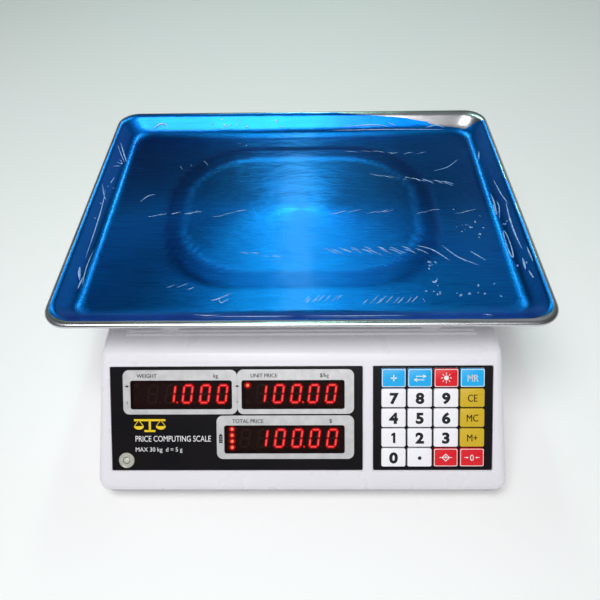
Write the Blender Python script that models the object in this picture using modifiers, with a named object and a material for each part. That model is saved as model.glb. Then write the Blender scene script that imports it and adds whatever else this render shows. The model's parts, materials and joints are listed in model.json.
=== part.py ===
"""A counter-top price computing scale: a drafted white housing with a sloped display and keypad panel, a
rear display for the customer, and a lift-off steel pan that a load cell carries on four rubber buffers.

The frame: +Z up, -Y towards the operator, origin on the table under the middle of the scale.
Every size is in metres, written as millimetres times MM.
"""

import math

import bmesh
import bpy
from mathutils import Matrix, Vector

MM = 0.001
GAP = 0.3 * MM  # the play left between pieces that touch

# ---- driving dimensions -----------------------------------------------------------------------------

# Overall: the pan's rim is the highest edge, and the feet stand on the table.
RIM_Z = 122 * MM
PAN_CENTRE_Y = 34.5 * MM
PAN_HALF_X = 179 * MM
PAN_HALF_Y = 134 * MM
PAN_SHEET = 0.8 * MM
FILM_SHEET = 0.3 * MM
PAN_FLOOR_DROP = 13 * MM  # from the rim to the outer floor, under which the buffers stand

# Housing: one wall thickness, drafted sides, and a seam between the top and bottom halves.
WALL = 3 * MM
BASE_Z = 10 * MM
SEAM_Z = 17 * MM
BASE_HALF_X = 150.5 * MM
DRAFT = math.radians(3.62)
FRONT_Y = -171 * MM
REAR_Y = 162 * MM
REAR_TOP_Y = 156 * MM
DECK_MARGIN = 22 * MM
PLATEAU_STEP = 2.5 * MM

# Front panel: a plane that leans back, measured from the upper edge of its labels, down the slope.
PANEL_TILT = math.radians(43.6)
PANEL_TOP = Vector((0, -107.2 * MM, 83.3 * MM))
RIDGE_ABOVE_LABEL = 10 * MM
LIP_BELOW_LABEL_TOP = 87.5 * MM
LABEL_HEIGHT = 76 * MM
LABEL_SHEET = 0.8 * MM
LABEL_TOP_Z = -0.1 * MM  # the label's face, just under the housing's
POCKET_DEPTH = LABEL_SHEET - LABEL_TOP_Z + GAP
DISPLAY_LABEL = (-138 * MM, 44.6 * MM)  # left and right edges
KEYPAD_LABEL = (52.2 * MM, 138 * MM)

# Display windows: left, right, upper and lower edges on the panel.
WEIGHT_WINDOW = (-123.2 * MM, -50.3 * MM, 10.4 * MM, 30.6 * MM)
UNIT_PRICE_WINDOW = (-42.4 * MM, 31.2 * MM, 10.4 * MM, 30.6 * MM)
TOTAL_PRICE_WINDOW = (-55.4 * MM, 31.2 * MM, 43.5 * MM, 63.3 * MM)
FRONT_WINDOWS = (WEIGHT_WINDOW, UNIT_PRICE_WINDOW, TOTAL_PRICE_WINDOW)
WINDOW_CORNER = 1.2 * MM
LED_FACE_Z = -2.9 * MM
LED_DEPTH = 7.8 * MM
BOARD_TOP_Z = -11 * MM
BOARD_SHEET = 1.6 * MM

# Keys: four columns of five, which travel into the panel.
KEY_WIDTH = 17.4 * MM
KEY_HEIGHT = 13.4 * MM
KEY_PITCH_X = 18.8 * MM
KEY_PITCH_Y = 14.5 * MM
FIRST_KEY = (66.8 * MM, 8.4 * MM)
KEY_TOP_Z = 1.3 * MM
KEY_BOTTOM_Z = -3 * MM
KEY_TRAVEL = 1 * MM
MAT_TOP_Z = -9.9 * MM
KEY_NAMES = (
    ("key_plus", "key_change", "key_backlight", "key_memory_recall"),
    ("key_7", "key_8", "key_9", "key_clear"),
    ("key_4", "key_5", "key_6", "key_memory_clear"),
    ("key_1", "key_2", "key_3", "key_memory_add"),
    ("key_0", "key_point", "key_tare", "key_zero_set"),
)
KEY_COLOURS = (
    ("key_blue", "key_blue", "key_red", "key_blue"),
    ("key_white", "key_white", "key_white", "key_yellow"),
    ("key_white", "key_white", "key_white", "key_yellow"),
    ("key_white", "key_white", "key_white", "key_yellow"),
    ("key_white", "key_white", "key_red", "key_red"),
)

# The level, which shows through a round hole in the display label.
LEVEL_AT = (-127.7 * MM, 68.9 * MM)
LEVEL_RADIUS = 5.7 * MM

# Rear panel: one row of three windows, on the rear wall.
REAR_LABEL_Z = 58 * MM
REAR_LABEL_SIZE = (266 * MM, 42 * MM)
REAR_WINDOW_WIDTHS = (72.9 * MM, 73.6 * MM, 86.6 * MM)
REAR_WINDOW_HEIGHT = 20.2 * MM
REAR_WINDOW_GAP = 8 * MM

# Platform: an H-shaped spider on the free end of the load cell, with a post under each pan corner.
POST_X = 96.5 * MM
POST_Y_FROM_CENTRE = 101.5 * MM
POST_RADIUS = 6 * MM
BUFFER_RADIUS = 8 * MM
BUFFER_TOP_Z = RIM_Z - PAN_FLOOR_DROP - PAN_SHEET - GAP
BUFFER_SKIN = 2.7 * MM
COLLAR_TOP_Z = 97 * MM
SPIDER_Z = (64 * MM, 72 * MM)
CELL_SIZE = Vector((30, 130, 22)) * MM
CELL_Z = 24.6 * MM

# Feet: a thumb pad on a threaded stud at each corner.
FOOT_X = 128 * MM
FOOT_Y = 138 * MM
STUD_RADIUS = 4 * MM
STUD_TOP_Z = 26 * MM
PAD_RADIUS = 12 * MM
PAD_HEIGHT = 8 * MM

# Battery and its hatch in the floor.
BATTERY_SIZE = Vector((100, 70, 47)) * MM
BATTERY_AT = (-67 * MM, 103 * MM)
HATCH_X = (-118 * MM, -16 * MM)
HATCH_Y = (56 * MM, 140 * MM)
HATCH_SCREW_AT = (-67 * MM, 61 * MM)

# Right-hand wall: the power switch and the mains inlet.
SIDE_FITTINGS_Z = 45 * MM
SWITCH_Y = 52 * MM
INLET_Y = 92 * MM
ROCKER_AXIS_Z = -1 * MM
ROCKER_REST_TILT = math.radians(10)

ROUND_STEPS = 24
CORNER_STEPS = 5

# ---- scene, materials and small helpers ---------------------------------------------------------------

PAINTS = {
    "housing_white": ((0.80, 0.79, 0.83), 0.35, 0.0),
    "base_grey": ((0.55, 0.54, 0.55), 0.5, 0.0),
    "label_black": ((0.012, 0.012, 0.016), 0.25, 0.0),
    "filter_red": ((0.10, 0.01, 0.01), 0.1, 0.0),
    "led_black": ((0.02, 0.02, 0.02), 0.4, 0.0),
    "board_green": ((0.03, 0.22, 0.08), 0.5, 0.0),
    "key_white": ((0.85, 0.84, 0.86), 0.4, 0.0),
    "key_blue": ((0.03, 0.42, 0.80), 0.4, 0.0),
    "key_red": ((0.70, 0.02, 0.03), 0.4, 0.0),
    "key_yellow": ((0.75, 0.55, 0.02), 0.4, 0.0),
    "rubber_black": ((0.02, 0.02, 0.02), 0.8, 0.0),
    "cell_aluminium": ((0.75, 0.76, 0.78), 0.35, 1.0),
    "steel_zinc": ((0.60, 0.60, 0.62), 0.35, 1.0),
    "steel_stainless": ((0.62, 0.63, 0.65), 0.22, 1.0),
    "film_blue": ((0.01, 0.12, 0.55), 0.15, 0.0),
    "battery_grey": ((0.10, 0.10, 0.11), 0.5, 0.0),
    "fitting_black": ((0.02, 0.02, 0.02), 0.4, 0.0),
    "level_clear": ((0.62, 0.61, 0.55), 0.1, 0.0),
}


def clear_scene():
    for thing in list(bpy.data.objects):
        bpy.data.objects.remove(thing, do_unlink=True)


def new_collection(name):
    collection = bpy.data.collections.new(name)
    bpy.context.scene.collection.children.link(collection)
    return collection


def make_materials():
    made = {}
    for name, (colour, roughness, metallic) in PAINTS.items():
        material = bpy.data.materials.new(name)
        material.use_nodes = True
        shader = material.node_tree.nodes["Principled BSDF"]
        shader.inputs["Base Color"].default_value = (*colour, 1)
        shader.inputs["Roughness"].default_value = roughness
        shader.inputs["Metallic"].default_value = metallic
        made[name] = material
    return made


clear_scene()
SCALE = new_collection("price_computing_scale")
CUTTERS = new_collection("cutters")
MATERIALS = make_materials()


def add_object(name, data, paint, parent=None):
    """Links an object to the scale if it has a paint, and to the cutters if it has none."""
    made = bpy.data.objects.new(name, data)
    if paint:
        SCALE.objects.link(made)
        if not data.materials:
            data.materials.append(MATERIALS[paint])
    else:
        CUTTERS.objects.link(made)
        made.hide_render = True
        made.display_type = "WIRE"
    made.parent = parent
    return made


def mesh_from(name, shape):
    """Turns a bmesh into a mesh with its faces pointing out, smooth where it is round."""
    bmesh.ops.recalc_face_normals(shape, faces=shape.faces)
    mesh = bpy.data.meshes.new(name)
    shape.to_mesh(mesh)
    shape.free()
    mesh.shade_smooth()
    mesh.set_sharp_from_angle(angle=math.radians(35))
    return mesh


def add_box(name, size, centre, paint=None, parent=None, bevel=0.0, segments=2):
    """A box, its edges rounded by bevel."""
    shape = bmesh.new()
    bmesh.ops.create_cube(shape, size=1, matrix=Matrix.Diagonal((*size, 1)))
    made = add_object(name, mesh_from(name, shape), paint, parent)
    made.location = centre
    if bevel:
        round_edges(made, bevel, segments)
    return made


def add_pegs(name, spots, radius, low, high, paint=None, parent=None, top_radius=None):
    """Upright round pegs at every spot (x, y), in one mesh, from low to high."""
    shape = bmesh.new()
    for x, y in spots:
        bmesh.ops.create_cone(
            shape,
            cap_ends=True,
            segments=ROUND_STEPS,
            radius1=radius,
            radius2=radius if top_radius is None else top_radius,
            depth=high - low,
            matrix=Matrix.Translation((x, y, (low + high) / 2)),
        )
    return add_object(name, mesh_from(name, shape), paint, parent)


def add_turned(name, profile, paint, location=(0, 0, 0), parent=None):
    """A turned piece. Its profile (radius, height) runs down the outer side and starts and ends on the axis."""
    shape = bmesh.new()
    points = [shape.verts.new((radius, 0, height)) for radius, height in profile]
    for first, second in zip(points, points[1:]):
        shape.edges.new((first, second))
    mesh = bpy.data.meshes.new(name)
    shape.to_mesh(mesh)
    shape.free()
    made = add_object(name, mesh, paint, parent)
    made.location = location
    screw = made.modifiers.new("turn", "SCREW")
    screw.steps = ROUND_STEPS
    screw.render_steps = ROUND_STEPS
    screw.use_merge_vertices = True
    screw.merge_threshold = 0.00001
    return made


def rounded_outline(left, right, low, high, radius, steps=CORNER_STEPS):
    """The points of a rectangle with round corners, anticlockwise."""
    points = []
    corners = ((right, low, -90), (right, high, 0), (left, high, 90), (left, low, 180))
    for x, y, start in corners:
        centre_x = x - math.copysign(radius, x - (left + right) / 2)
        centre_y = y - math.copysign(radius, y - (low + high) / 2)
        for step in range(steps + 1):
            angle = math.radians(start + 90 * step / steps)
            points.append((centre_x + radius * math.cos(angle), centre_y + radius * math.sin(angle)))
    return points


def circle_outline(x, y, radius, steps=ROUND_STEPS):
    turns = [2 * math.pi * step / steps for step in range(steps)]
    return [(x + radius * math.cos(turn), y + radius * math.sin(turn)) for turn in turns]


def add_plate(name, outlines, low, high, paint, parent=None):
    """A flat plate from low to high in Z. The first outline is its edge, and the others are holes in it."""
    curve = bpy.data.curves.new(name, "CURVE")
    curve.dimensions = "2D"
    curve.fill_mode = "BOTH"
    curve.extrude = (high - low) / 2
    for outline in outlines:
        spline = curve.splines.new("POLY")
        spline.points.add(len(outline) - 1)
        spline.use_cyclic_u = True
        for point, (x, y) in zip(spline.points, outline):
            point.co = (x, y, 0, 1)
    made = add_object(name, curve, paint, parent)
    made.location = (0, 0, (low + high) / 2)
    return made


def loft(rings, closed=False):
    """A surface through rings of equally many points, each (outline, z), capped at the first or at both ends."""
    shape = bmesh.new()
    rows = [[shape.verts.new((x, y, z)) for x, y in outline] for outline, z in rings]
    shape.faces.new(rows[0])
    if closed:
        shape.faces.new(rows[-1])
    for inner, outer in zip(rows, rows[1:]):
        for step, (here, there) in enumerate(zip(inner, outer)):
            shape.faces.new((inner[step - 1], here, there, outer[step - 1]))
    bmesh.ops.recalc_face_normals(shape, faces=shape.faces)
    return shape


def round_edges(target, width, segments=2, by_weight=False):
    bevel = target.modifiers.new("round_edges", "BEVEL")
    bevel.width = width
    bevel.segments = segments
    bevel.limit_method = "WEIGHT" if by_weight else "ANGLE"
    return bevel


def make_shell(target, thickness, outwards=False):
    solid = target.modifiers.new("wall", "SOLIDIFY")
    solid.thickness = thickness
    solid.offset = 1 if outwards else -1
    solid.use_even_offset = True
    return solid


def combine(target, operation, *others):
    """Cuts the others from the target, or joins them to it."""
    for other in others:
        boolean = target.modifiers.new(other.name, "BOOLEAN")
        boolean.operation = operation
        boolean.solver = "EXACT"
        boolean.object = other


def cut(target, *cutters):
    combine(target, "DIFFERENCE", *cutters)


def join(target, *others):
    combine(target, "UNION", *others)


def frame_at(name, location, rotation):
    empty = bpy.data.objects.new(name, None)
    SCALE.objects.link(empty)
    empty.location = location
    empty.rotation_euler = rotation
    return empty


def half_width_at(z):
    """Half of the housing's width at a height: its side walls lean in by the draft."""
    return BASE_HALF_X - (z - BASE_Z) * math.tan(DRAFT)


def panel_point(down):
    """The place (y, z) on the front panel's face, that far down the slope from the labels' upper edge."""
    return (
        PANEL_TOP.y - down * math.cos(PANEL_TILT),
        PANEL_TOP.z - down * math.sin(PANEL_TILT),
    )


def on_panel(window, grow=0.0):
    """A window's edges (left, right, upper, lower) as a panel outline's (left, right, low, high)."""
    left, right, upper, lower = window
    return left - grow, right + grow, -lower - grow, -upper + grow


def panel_box(name, edges, low, high, parent, paint=None):
    """A box in a panel's own frame, with edges (left, right, low, high) across it and low to high out of it."""
    left, right, bottom, top = edges
    size = (right - left, top - bottom, high - low)
    centre = ((left + right) / 2, (bottom + top) / 2, (low + high) / 2)
    return add_box(name, size, centre, paint, parent)


# ---- the frames that the pieces are placed in ---------------------------------------------------------

FRONT_FRAME = frame_at("front_panel_frame", PANEL_TOP, (PANEL_TILT, 0, 0))

DECK_Z = panel_point(-RIDGE_ABOVE_LABEL)[1]
REAR_TILT = math.atan2(DECK_Z - SEAM_Z, REAR_Y - REAR_TOP_Y)
REAR_LABEL_Y = REAR_TOP_Y + (DECK_Z - REAR_LABEL_Z) / math.tan(REAR_TILT)
REAR_FRAME = frame_at("rear_panel_frame", (0, REAR_LABEL_Y, REAR_LABEL_Z), (REAR_TILT, 0, math.pi))

SIDE_FRAME = frame_at(
    "right_wall_frame",
    (half_width_at(SIDE_FITTINGS_Z), 0, SIDE_FITTINGS_Z),
    (math.pi / 2 - DRAFT, 0, math.pi / 2),
)

POSTS = [
    (side * POST_X, PAN_CENTRE_Y + end * POST_Y_FROM_CENTRE)
    for side in (-1, 1)
    for end in (-1, 1)
]
FEET = {
    "front_left": (-FOOT_X, -FOOT_Y),
    "front_right": (FOOT_X, -FOOT_Y),
    "rear_left": (-FOOT_X, FOOT_Y),
    "rear_right": (FOOT_X, FOOT_Y),
}

# ---- housing --------------------------------------------------------------------------------------------


def housing_blank():
    """The top half's outer skin: its side outline pushed across, drafted, with a raised plateau in its deck."""
    lip_y, lip_z = panel_point(LIP_BELOW_LABEL_TOP)
    ridge_y, ridge_z = panel_point(-RIDGE_ABOVE_LABEL)
    outline = ((FRONT_Y, SEAM_Z), (lip_y, lip_z), (ridge_y, ridge_z), (REAR_TOP_Y, ridge_z), (REAR_Y, SEAM_Z))
    shape = bmesh.new()
    side = shape.faces.new([shape.verts.new((0, y, z)) for y, z in outline])
    pushed = bmesh.ops.extrude_face_region(shape, geom=[side])["geom"]
    right_side = {part for part in pushed if isinstance(part, bmesh.types.BMVert)}
    for vert in shape.verts:
        vert.co.x = half_width_at(vert.co.z) * (1 if vert in right_side else -1)
    bmesh.ops.recalc_face_normals(shape, faces=shape.faces)
    bottom = min(shape.faces, key=lambda face: face.calc_center_median().z)
    bmesh.ops.delete(shape, geom=[bottom], context="FACES_ONLY")
    weigh_edges(shape, lip_z, ridge_z)
    deck = max(shape.faces, key=lambda face: face.calc_center_median().z)
    bmesh.ops.inset_region(shape, faces=[deck], thickness=DECK_MARGIN)
    for vert in deck.verts:
        vert.co.y += 8 * MM if vert.co.y > 0 else 0
    bmesh.ops.inset_region(shape, faces=[deck], thickness=PLATEAU_STEP, depth=PLATEAU_STEP)
    return shape


def weigh_edges(shape, lip_z, ridge_z):
    """Says how round each edge is, as a share of the widest rounding."""
    weights = shape.edges.layers.float.new("bevel_weight_edge")
    for edge in shape.edges:
        middle = (edge.verts[0].co + edge.verts[1].co) / 2
        across = abs(edge.verts[0].co.x - edge.verts[1].co.x) > MM * 20
        if edge.is_boundary:
            edge[weights] = 0
        elif not across:
            edge[weights] = 1 if middle.z < lip_z or middle.y > REAR_TOP_Y else 0.6
        elif middle.y < 0 and middle.z > ridge_z - MM:
            edge[weights] = 0.12
        else:
            edge[weights] = 0.5


def top_housing():
    shape = housing_blank()
    mesh = bpy.data.meshes.new("top_housing")
    shape.to_mesh(mesh)
    shape.free()
    housing = add_object("top_housing", mesh, "housing_white")
    round_edges(housing, 8 * MM, segments=3, by_weight=True)
    make_shell(housing, WALL)
    join(housing, add_pegs("post_collars", POSTS, 16 * MM, DECK_Z - WALL + MM, COLLAR_TOP_Z, top_radius=13 * MM))
    cut(housing, add_pegs("post_holes", POSTS, 9.5 * MM, DECK_Z - 10 * MM, COLLAR_TOP_Z + 5 * MM))
    for name, frame, edges, depth in housing_cuts():
        cut(housing, panel_box(name, edges, -depth, 5 * MM, frame))
    level_x, level_down = LEVEL_AT
    cut(housing, add_pegs("level_hole", [(level_x, -level_down)], 6.3 * MM, -12 * MM, 5 * MM, parent=FRONT_FRAME))
    return housing


def housing_cuts():
    """Every pocket and opening that is a box: (name, frame, edges, depth)."""
    through = 12 * MM
    play = 0.5 * MM
    rear_half_x, rear_half_y = (side / 2 + play for side in REAR_LABEL_SIZE)
    return (
        ("display_pocket", FRONT_FRAME, on_panel((*DISPLAY_LABEL, 0, LABEL_HEIGHT), play), POCKET_DEPTH),
        ("keypad_pocket", FRONT_FRAME, on_panel((*KEYPAD_LABEL, 0, LABEL_HEIGHT), play), POCKET_DEPTH),
        ("display_opening", FRONT_FRAME, DISPLAY_OPENING, through),
        ("keypad_opening", FRONT_FRAME, KEYPAD_OPENING, through),
        ("rear_pocket", REAR_FRAME, (-rear_half_x, rear_half_x, -rear_half_y, rear_half_y), POCKET_DEPTH),
        ("rear_opening", REAR_FRAME, REAR_OPENING, through),
        ("switch_opening", SIDE_FRAME, around(SWITCH_Y, 13.4 * MM, 19.4 * MM), through),
        ("inlet_opening", SIDE_FRAME, around(INLET_Y, 27.8 * MM, 20.2 * MM), through),
    )


def around(x, width, height):
    """The edges of a rectangle centred on x."""
    return x - width / 2, x + width / 2, -height / 2, height / 2


def block_of_keys(grow):
    """The edges round all the keys, grown by that much."""
    first_x, first_down = FIRST_KEY
    left = first_x - KEY_WIDTH / 2
    right = first_x + 3 * KEY_PITCH_X + KEY_WIDTH / 2
    upper = first_down - KEY_HEIGHT / 2
    lower = first_down + 4 * KEY_PITCH_Y + KEY_HEIGHT / 2
    return on_panel((left, right, upper, lower), grow)


DISPLAY_OPENING = (-126 * MM, 34 * MM, -66 * MM, -8 * MM)
KEYPAD_OPENING = block_of_keys(0.7 * MM)
REAR_OPENING = (-127 * MM, 127 * MM, -12 * MM, 12 * MM)


def bottom_housing():
    """A shallow tray with bosses for the feet, posts for the main board and a hatch for the battery."""
    half_x = half_width_at(SEAM_Z) - 0.8 * MM
    front, rear = FRONT_Y + 1.2 * MM, REAR_Y - 0.8 * MM
    corner = 9 * MM
    chamfer = 1.5 * MM
    floor = BASE_Z + WALL
    top = SEAM_Z - GAP

    def ring(inset, z):
        return rounded_outline(-half_x + inset, half_x - inset, front + inset, rear - inset, corner - inset), z

    outside = loft([ring(chamfer, BASE_Z), ring(0, BASE_Z + chamfer), ring(0, top)], closed=True)
    inside = loft([ring(WALL, floor), ring(WALL, top + WALL)], closed=True)
    housing = add_object("bottom_housing", mesh_from("bottom_housing", outside), "base_grey")
    cut(housing, add_object("bottom_hollow", mesh_from("bottom_hollow", inside), None))
    join(
        housing,
        add_pegs("foot_bosses", FEET.values(), 8 * MM, BASE_Z + MM, 22 * MM),
        add_pegs("board_posts", BOARD_POSTS, 3.5 * MM, BASE_Z + MM, MAIN_BOARD_Z - GAP),
        add_box("hatch_lug", (16 * MM, 14 * MM, 6.5 * MM), (HATCH_SCREW_AT[0], 57 * MM, floor + 2.95 * MM)),
    )
    hatch_size = (HATCH_X[1] - HATCH_X[0], HATCH_Y[1] - HATCH_Y[0], WALL * 2)
    hatch_centre = (sum(HATCH_X) / 2, sum(HATCH_Y) / 2, floor + GAP / 2 - WALL)
    cut(
        housing,
        add_pegs("foot_holes", FEET.values(), STUD_RADIUS + GAP, 0, 30 * MM),
        add_box("hatch_opening", hatch_size, hatch_centre),
        add_pegs("hatch_screw_hole", [HATCH_SCREW_AT], 1.8 * MM, 0, 30 * MM),
    )
    return housing


MAIN_BOARD_Z = 20 * MM
BOARD_POSTS = [(side * 64 * MM, y * MM) for side in (-1, 1) for y in (-129, -64)]


# ---- front panel ----------------------------------------------------------------------------------------


def display_label():
    level_x, level_down = LEVEL_AT
    edge = rounded_outline(*on_panel((*DISPLAY_LABEL, 0, LABEL_HEIGHT)), 0.8 * MM)
    holes = [rounded_outline(*on_panel(window), WINDOW_CORNER) for window in FRONT_WINDOWS]
    holes.append(circle_outline(level_x, -level_down, LEVEL_RADIUS + GAP))
    low = LABEL_TOP_Z - LABEL_SHEET
    return add_plate("front_display_label", [edge, *holes], low, LABEL_TOP_Z, "label_black", FRONT_FRAME)


def key_spots():
    """Each key's name, paint and place (x, down the panel)."""
    for row, names in enumerate(KEY_NAMES):
        for column, name in enumerate(names):
            spot = (FIRST_KEY[0] + column * KEY_PITCH_X, FIRST_KEY[1] + row * KEY_PITCH_Y)
            yield name, KEY_COLOURS[row][column], spot


def keypad_frame():
    """The black frame round the keys, with a thin bar between every two of them."""
    edge = rounded_outline(*on_panel((*KEYPAD_LABEL, 0, LABEL_HEIGHT)), 0.8 * MM)
    holes = []
    for _, _, (x, down) in key_spots():
        half_x, half_y = KEY_WIDTH / 2 + GAP, KEY_HEIGHT / 2 + GAP
        holes.append(rounded_outline(x - half_x, x + half_x, -down - half_y, -down + half_y, 1.1 * MM, 2))
    low = LABEL_TOP_Z - LABEL_SHEET
    return add_plate("keypad_frame", [edge, *holes], low, LABEL_TOP_Z, "label_black", FRONT_FRAME)


def key_mesh():
    """One key: a cap with a rounded top and a stem that presses the mat."""
    shape = bmesh.new()
    height = KEY_TOP_Z - KEY_BOTTOM_Z
    middle = (KEY_TOP_Z + KEY_BOTTOM_Z) / 2
    matrix = Matrix.Translation((0, 0, middle)) @ Matrix.Diagonal((KEY_WIDTH, KEY_HEIGHT, height, 1))
    bmesh.ops.create_cube(shape, size=1, matrix=matrix)
    upright = [e for e in shape.edges if abs(e.verts[0].co.z - e.verts[1].co.z) > MM]
    bmesh.ops.bevel(shape, geom=upright, offset=1.2 * MM, segments=2, profile=0.5, affect="EDGES")
    upper = [e for e in shape.edges if all(v.co.z > KEY_TOP_Z - 0.1 * MM for v in e.verts)]
    bmesh.ops.bevel(shape, geom=upper, offset=0.7 * MM, segments=2, profile=0.5, affect="EDGES")
    cap = add_object("key_cap_blank", mesh_from("key_cap_blank", shape), None)
    stem_low = MAT_TOP_Z + KEY_TRAVEL + GAP
    join(cap, add_pegs("key_stem", [(0, 0)], 3 * MM, stem_low, KEY_BOTTOM_Z + MM))
    bpy.context.view_layer.update()
    evaluated = cap.evaluated_get(bpy.context.evaluated_depsgraph_get())
    return bpy.data.meshes.new_from_object(evaluated)


def keys():
    """Twenty keys on one mesh each colour, each in its hole of the frame."""
    meshes = {}
    for name, paint, (x, down) in key_spots():
        if paint not in meshes:
            meshes[paint] = key_mesh() if not meshes else next(iter(meshes.values())).copy()
            meshes[paint].materials.clear()
            meshes[paint].materials.append(MATERIALS[paint])
        add_object(name, meshes[paint], paint, FRONT_FRAME).location = (x, -down, 0)


def front_electronics():
    """The red filter, the three digit modules, the key mat and the board that carries them."""
    left, right, low, high = DISPLAY_OPENING
    play = 0.5 * MM
    level_x, level_down = LEVEL_AT
    level = (level_x, -level_down)
    sheet = panel_box("front_filter", (left + play, right - play, low + play, high - play), -2.4 * MM, -1.3 * MM,
                      FRONT_FRAME, "filter_red")
    cut(sheet, add_pegs("level_clearance", [level], 7 * MM, -5 * MM, 5 * MM, parent=FRONT_FRAME))
    modules = ("led_weight", "led_unit_price", "led_total_price")
    for name, window in zip(modules, FRONT_WINDOWS):
        panel_box(name, on_panel(window), LED_FACE_Z - LED_DEPTH, LED_FACE_Z, FRONT_FRAME, "led_black")
    panel_box("key_mat", block_of_keys(2 * MM), BOARD_TOP_Z + GAP, MAT_TOP_Z, FRONT_FRAME, "rubber_black")
    board = (-132 * MM, 137 * MM, -76 * MM, 1.5 * MM)
    panel_box("front_board", board, BOARD_TOP_Z - BOARD_SHEET, BOARD_TOP_Z, FRONT_FRAME, "board_green")
    add_pegs("level_vial", [level], LEVEL_RADIUS, -9 * MM, -0.4 * MM, "level_clear", FRONT_FRAME)


# ---- rear panel -----------------------------------------------------------------------------------------


def rear_windows():
    """The three windows' edges, in one row about the middle of the rear label."""
    x = -(sum(REAR_WINDOW_WIDTHS) + 2 * REAR_WINDOW_GAP) / 2
    for width in REAR_WINDOW_WIDTHS:
        yield x, x + width, -REAR_WINDOW_HEIGHT / 2, REAR_WINDOW_HEIGHT / 2
        x += width + REAR_WINDOW_GAP


def rear_panel():
    half_x, half_y = (side / 2 for side in REAR_LABEL_SIZE)
    edge = rounded_outline(-half_x, half_x, -half_y, half_y, 0.8 * MM)
    holes = [rounded_outline(*window, WINDOW_CORNER) for window in rear_windows()]
    low = LABEL_TOP_Z - LABEL_SHEET
    add_plate("rear_display_label", [edge, *holes], low, LABEL_TOP_Z, "label_black", REAR_FRAME)
    left, right, bottom, top = REAR_OPENING
    play = 0.5 * MM
    panel_box("rear_filter", (left + play, right - play, bottom + play, top - play), -2.4 * MM, -1.3 * MM,
              REAR_FRAME, "filter_red")
    led_edges = (-125 * MM, 125 * MM, -REAR_WINDOW_HEIGHT / 2, REAR_WINDOW_HEIGHT / 2)
    panel_box("rear_led_bar", led_edges, LED_FACE_Z - LED_DEPTH, LED_FACE_Z, REAR_FRAME, "led_black")
    board = (-131 * MM, 131 * MM, -18 * MM, 16 * MM)
    panel_box("rear_board", board, BOARD_TOP_Z - BOARD_SHEET, BOARD_TOP_Z, REAR_FRAME, "board_green")


# ---- right-hand wall ------------------------------------------------------------------------------------


def power_switch():
    flange = add_box("switch_bezel", (15 * MM, 21 * MM, 2 * MM), (SWITCH_Y, 0, 1.3 * MM), "fitting_black",
                     SIDE_FRAME, bevel=0.6 * MM)
    body = panel_box("switch_body", around(SWITCH_Y, 12.6 * MM, 18.6 * MM), -14 * MM, MM, SIDE_FRAME)
    well = panel_box("switch_well", around(SWITCH_Y, 10.4 * MM, 16 * MM), -8.7 * MM, 5 * MM, SIDE_FRAME)
    join(flange, body)
    cut(flange, well)


def power_rocker():
    """The rocker, turned about its own pin, with one end pressed in as it is when the scale is on."""
    outline = ((-6, -3), (6, -3), (7, 4), (0, 2.6), (-7, 4))
    rocker = add_plate("power_rocker", [[(x * MM, y * MM) for x, y in outline]], 0, 0, "fitting_black", SIDE_FRAME)
    rocker.data.extrude = 4.8 * MM
    rocker.location = (SWITCH_Y, 0, ROCKER_AXIS_Z)
    upright = Matrix(((0, 0, 1), (1, 0, 0), (0, 1, 0)))  # the outline's x goes up the wall, and its y out of it
    rocker.rotation_euler = (Matrix.Rotation(ROCKER_REST_TILT, 3, "X") @ upright).to_euler()


def power_inlet():
    """A mains inlet: a flanged well with three blades in it."""
    inlet = add_box("power_inlet", (30 * MM, 22 * MM, 2 * MM), (INLET_Y, 0, 1.3 * MM), "fitting_black",
                    SIDE_FRAME, bevel=0.6 * MM)
    body = panel_box("inlet_body", around(INLET_Y, 27 * MM, 19.4 * MM), -15 * MM, MM, SIDE_FRAME)
    well = panel_box("inlet_well", around(INLET_Y, 24 * MM, 16.4 * MM), -13 * MM, 5 * MM, SIDE_FRAME)
    join(inlet, body)
    cut(inlet, well)
    for number, (x, y) in enumerate(((-7, 0), (7, 0), (0, 4))):
        centre = (INLET_Y + x * MM, y * MM, -9 * MM)
        join(inlet, add_box(f"inlet_blade_{number}", (2 * MM, 4 * MM, 9.4 * MM), centre, parent=SIDE_FRAME))


# ---- inside ---------------------------------------------------------------------------------------------


def load_cell():
    """A bar with two round holes and a slot through its middle, where it bends."""
    centre = Vector((0, PAN_CENTRE_Y, CELL_Z + CELL_SIZE.z / 2))
    cell = add_box("load_cell", CELL_SIZE, centre, "cell_aluminium", bevel=0.8 * MM, segments=1)
    sideways = Matrix.Rotation(math.pi / 2, 4, "Y")
    for end in (-1, 1):
        hole = add_pegs(f"cell_hole_{end + 2}", [(0, 0)], 8 * MM, -20 * MM, 20 * MM)
        hole.matrix_world = Matrix.Translation(centre + Vector((0, end * 12 * MM, 0))) @ sideways
        cut(cell, hole)
    cut(cell, add_box("cell_slot", (40 * MM, 24 * MM, 4 * MM), centre))


def load_cell_bracket():
    """The plate that the cell's front end stands on, with the post that stops the rear end in an overload."""
    low = BASE_Z + WALL + GAP
    bracket = add_box("load_cell_bracket", (100 * MM, 99 * MM, 3 * MM), (0, 4.5 * MM, low + 1.5 * MM), "steel_zinc")
    pad_top = CELL_Z - GAP
    pad_height = pad_top - low
    join(
        bracket,
        add_box("cell_pad", (30 * MM, 34 * MM, pad_height), (0, -13 * MM, low + pad_height / 2)),
        add_pegs("overload_stop", [(0, 46 * MM)], 5 * MM, low + MM, CELL_Z - 0.8 * MM),
    )


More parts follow.
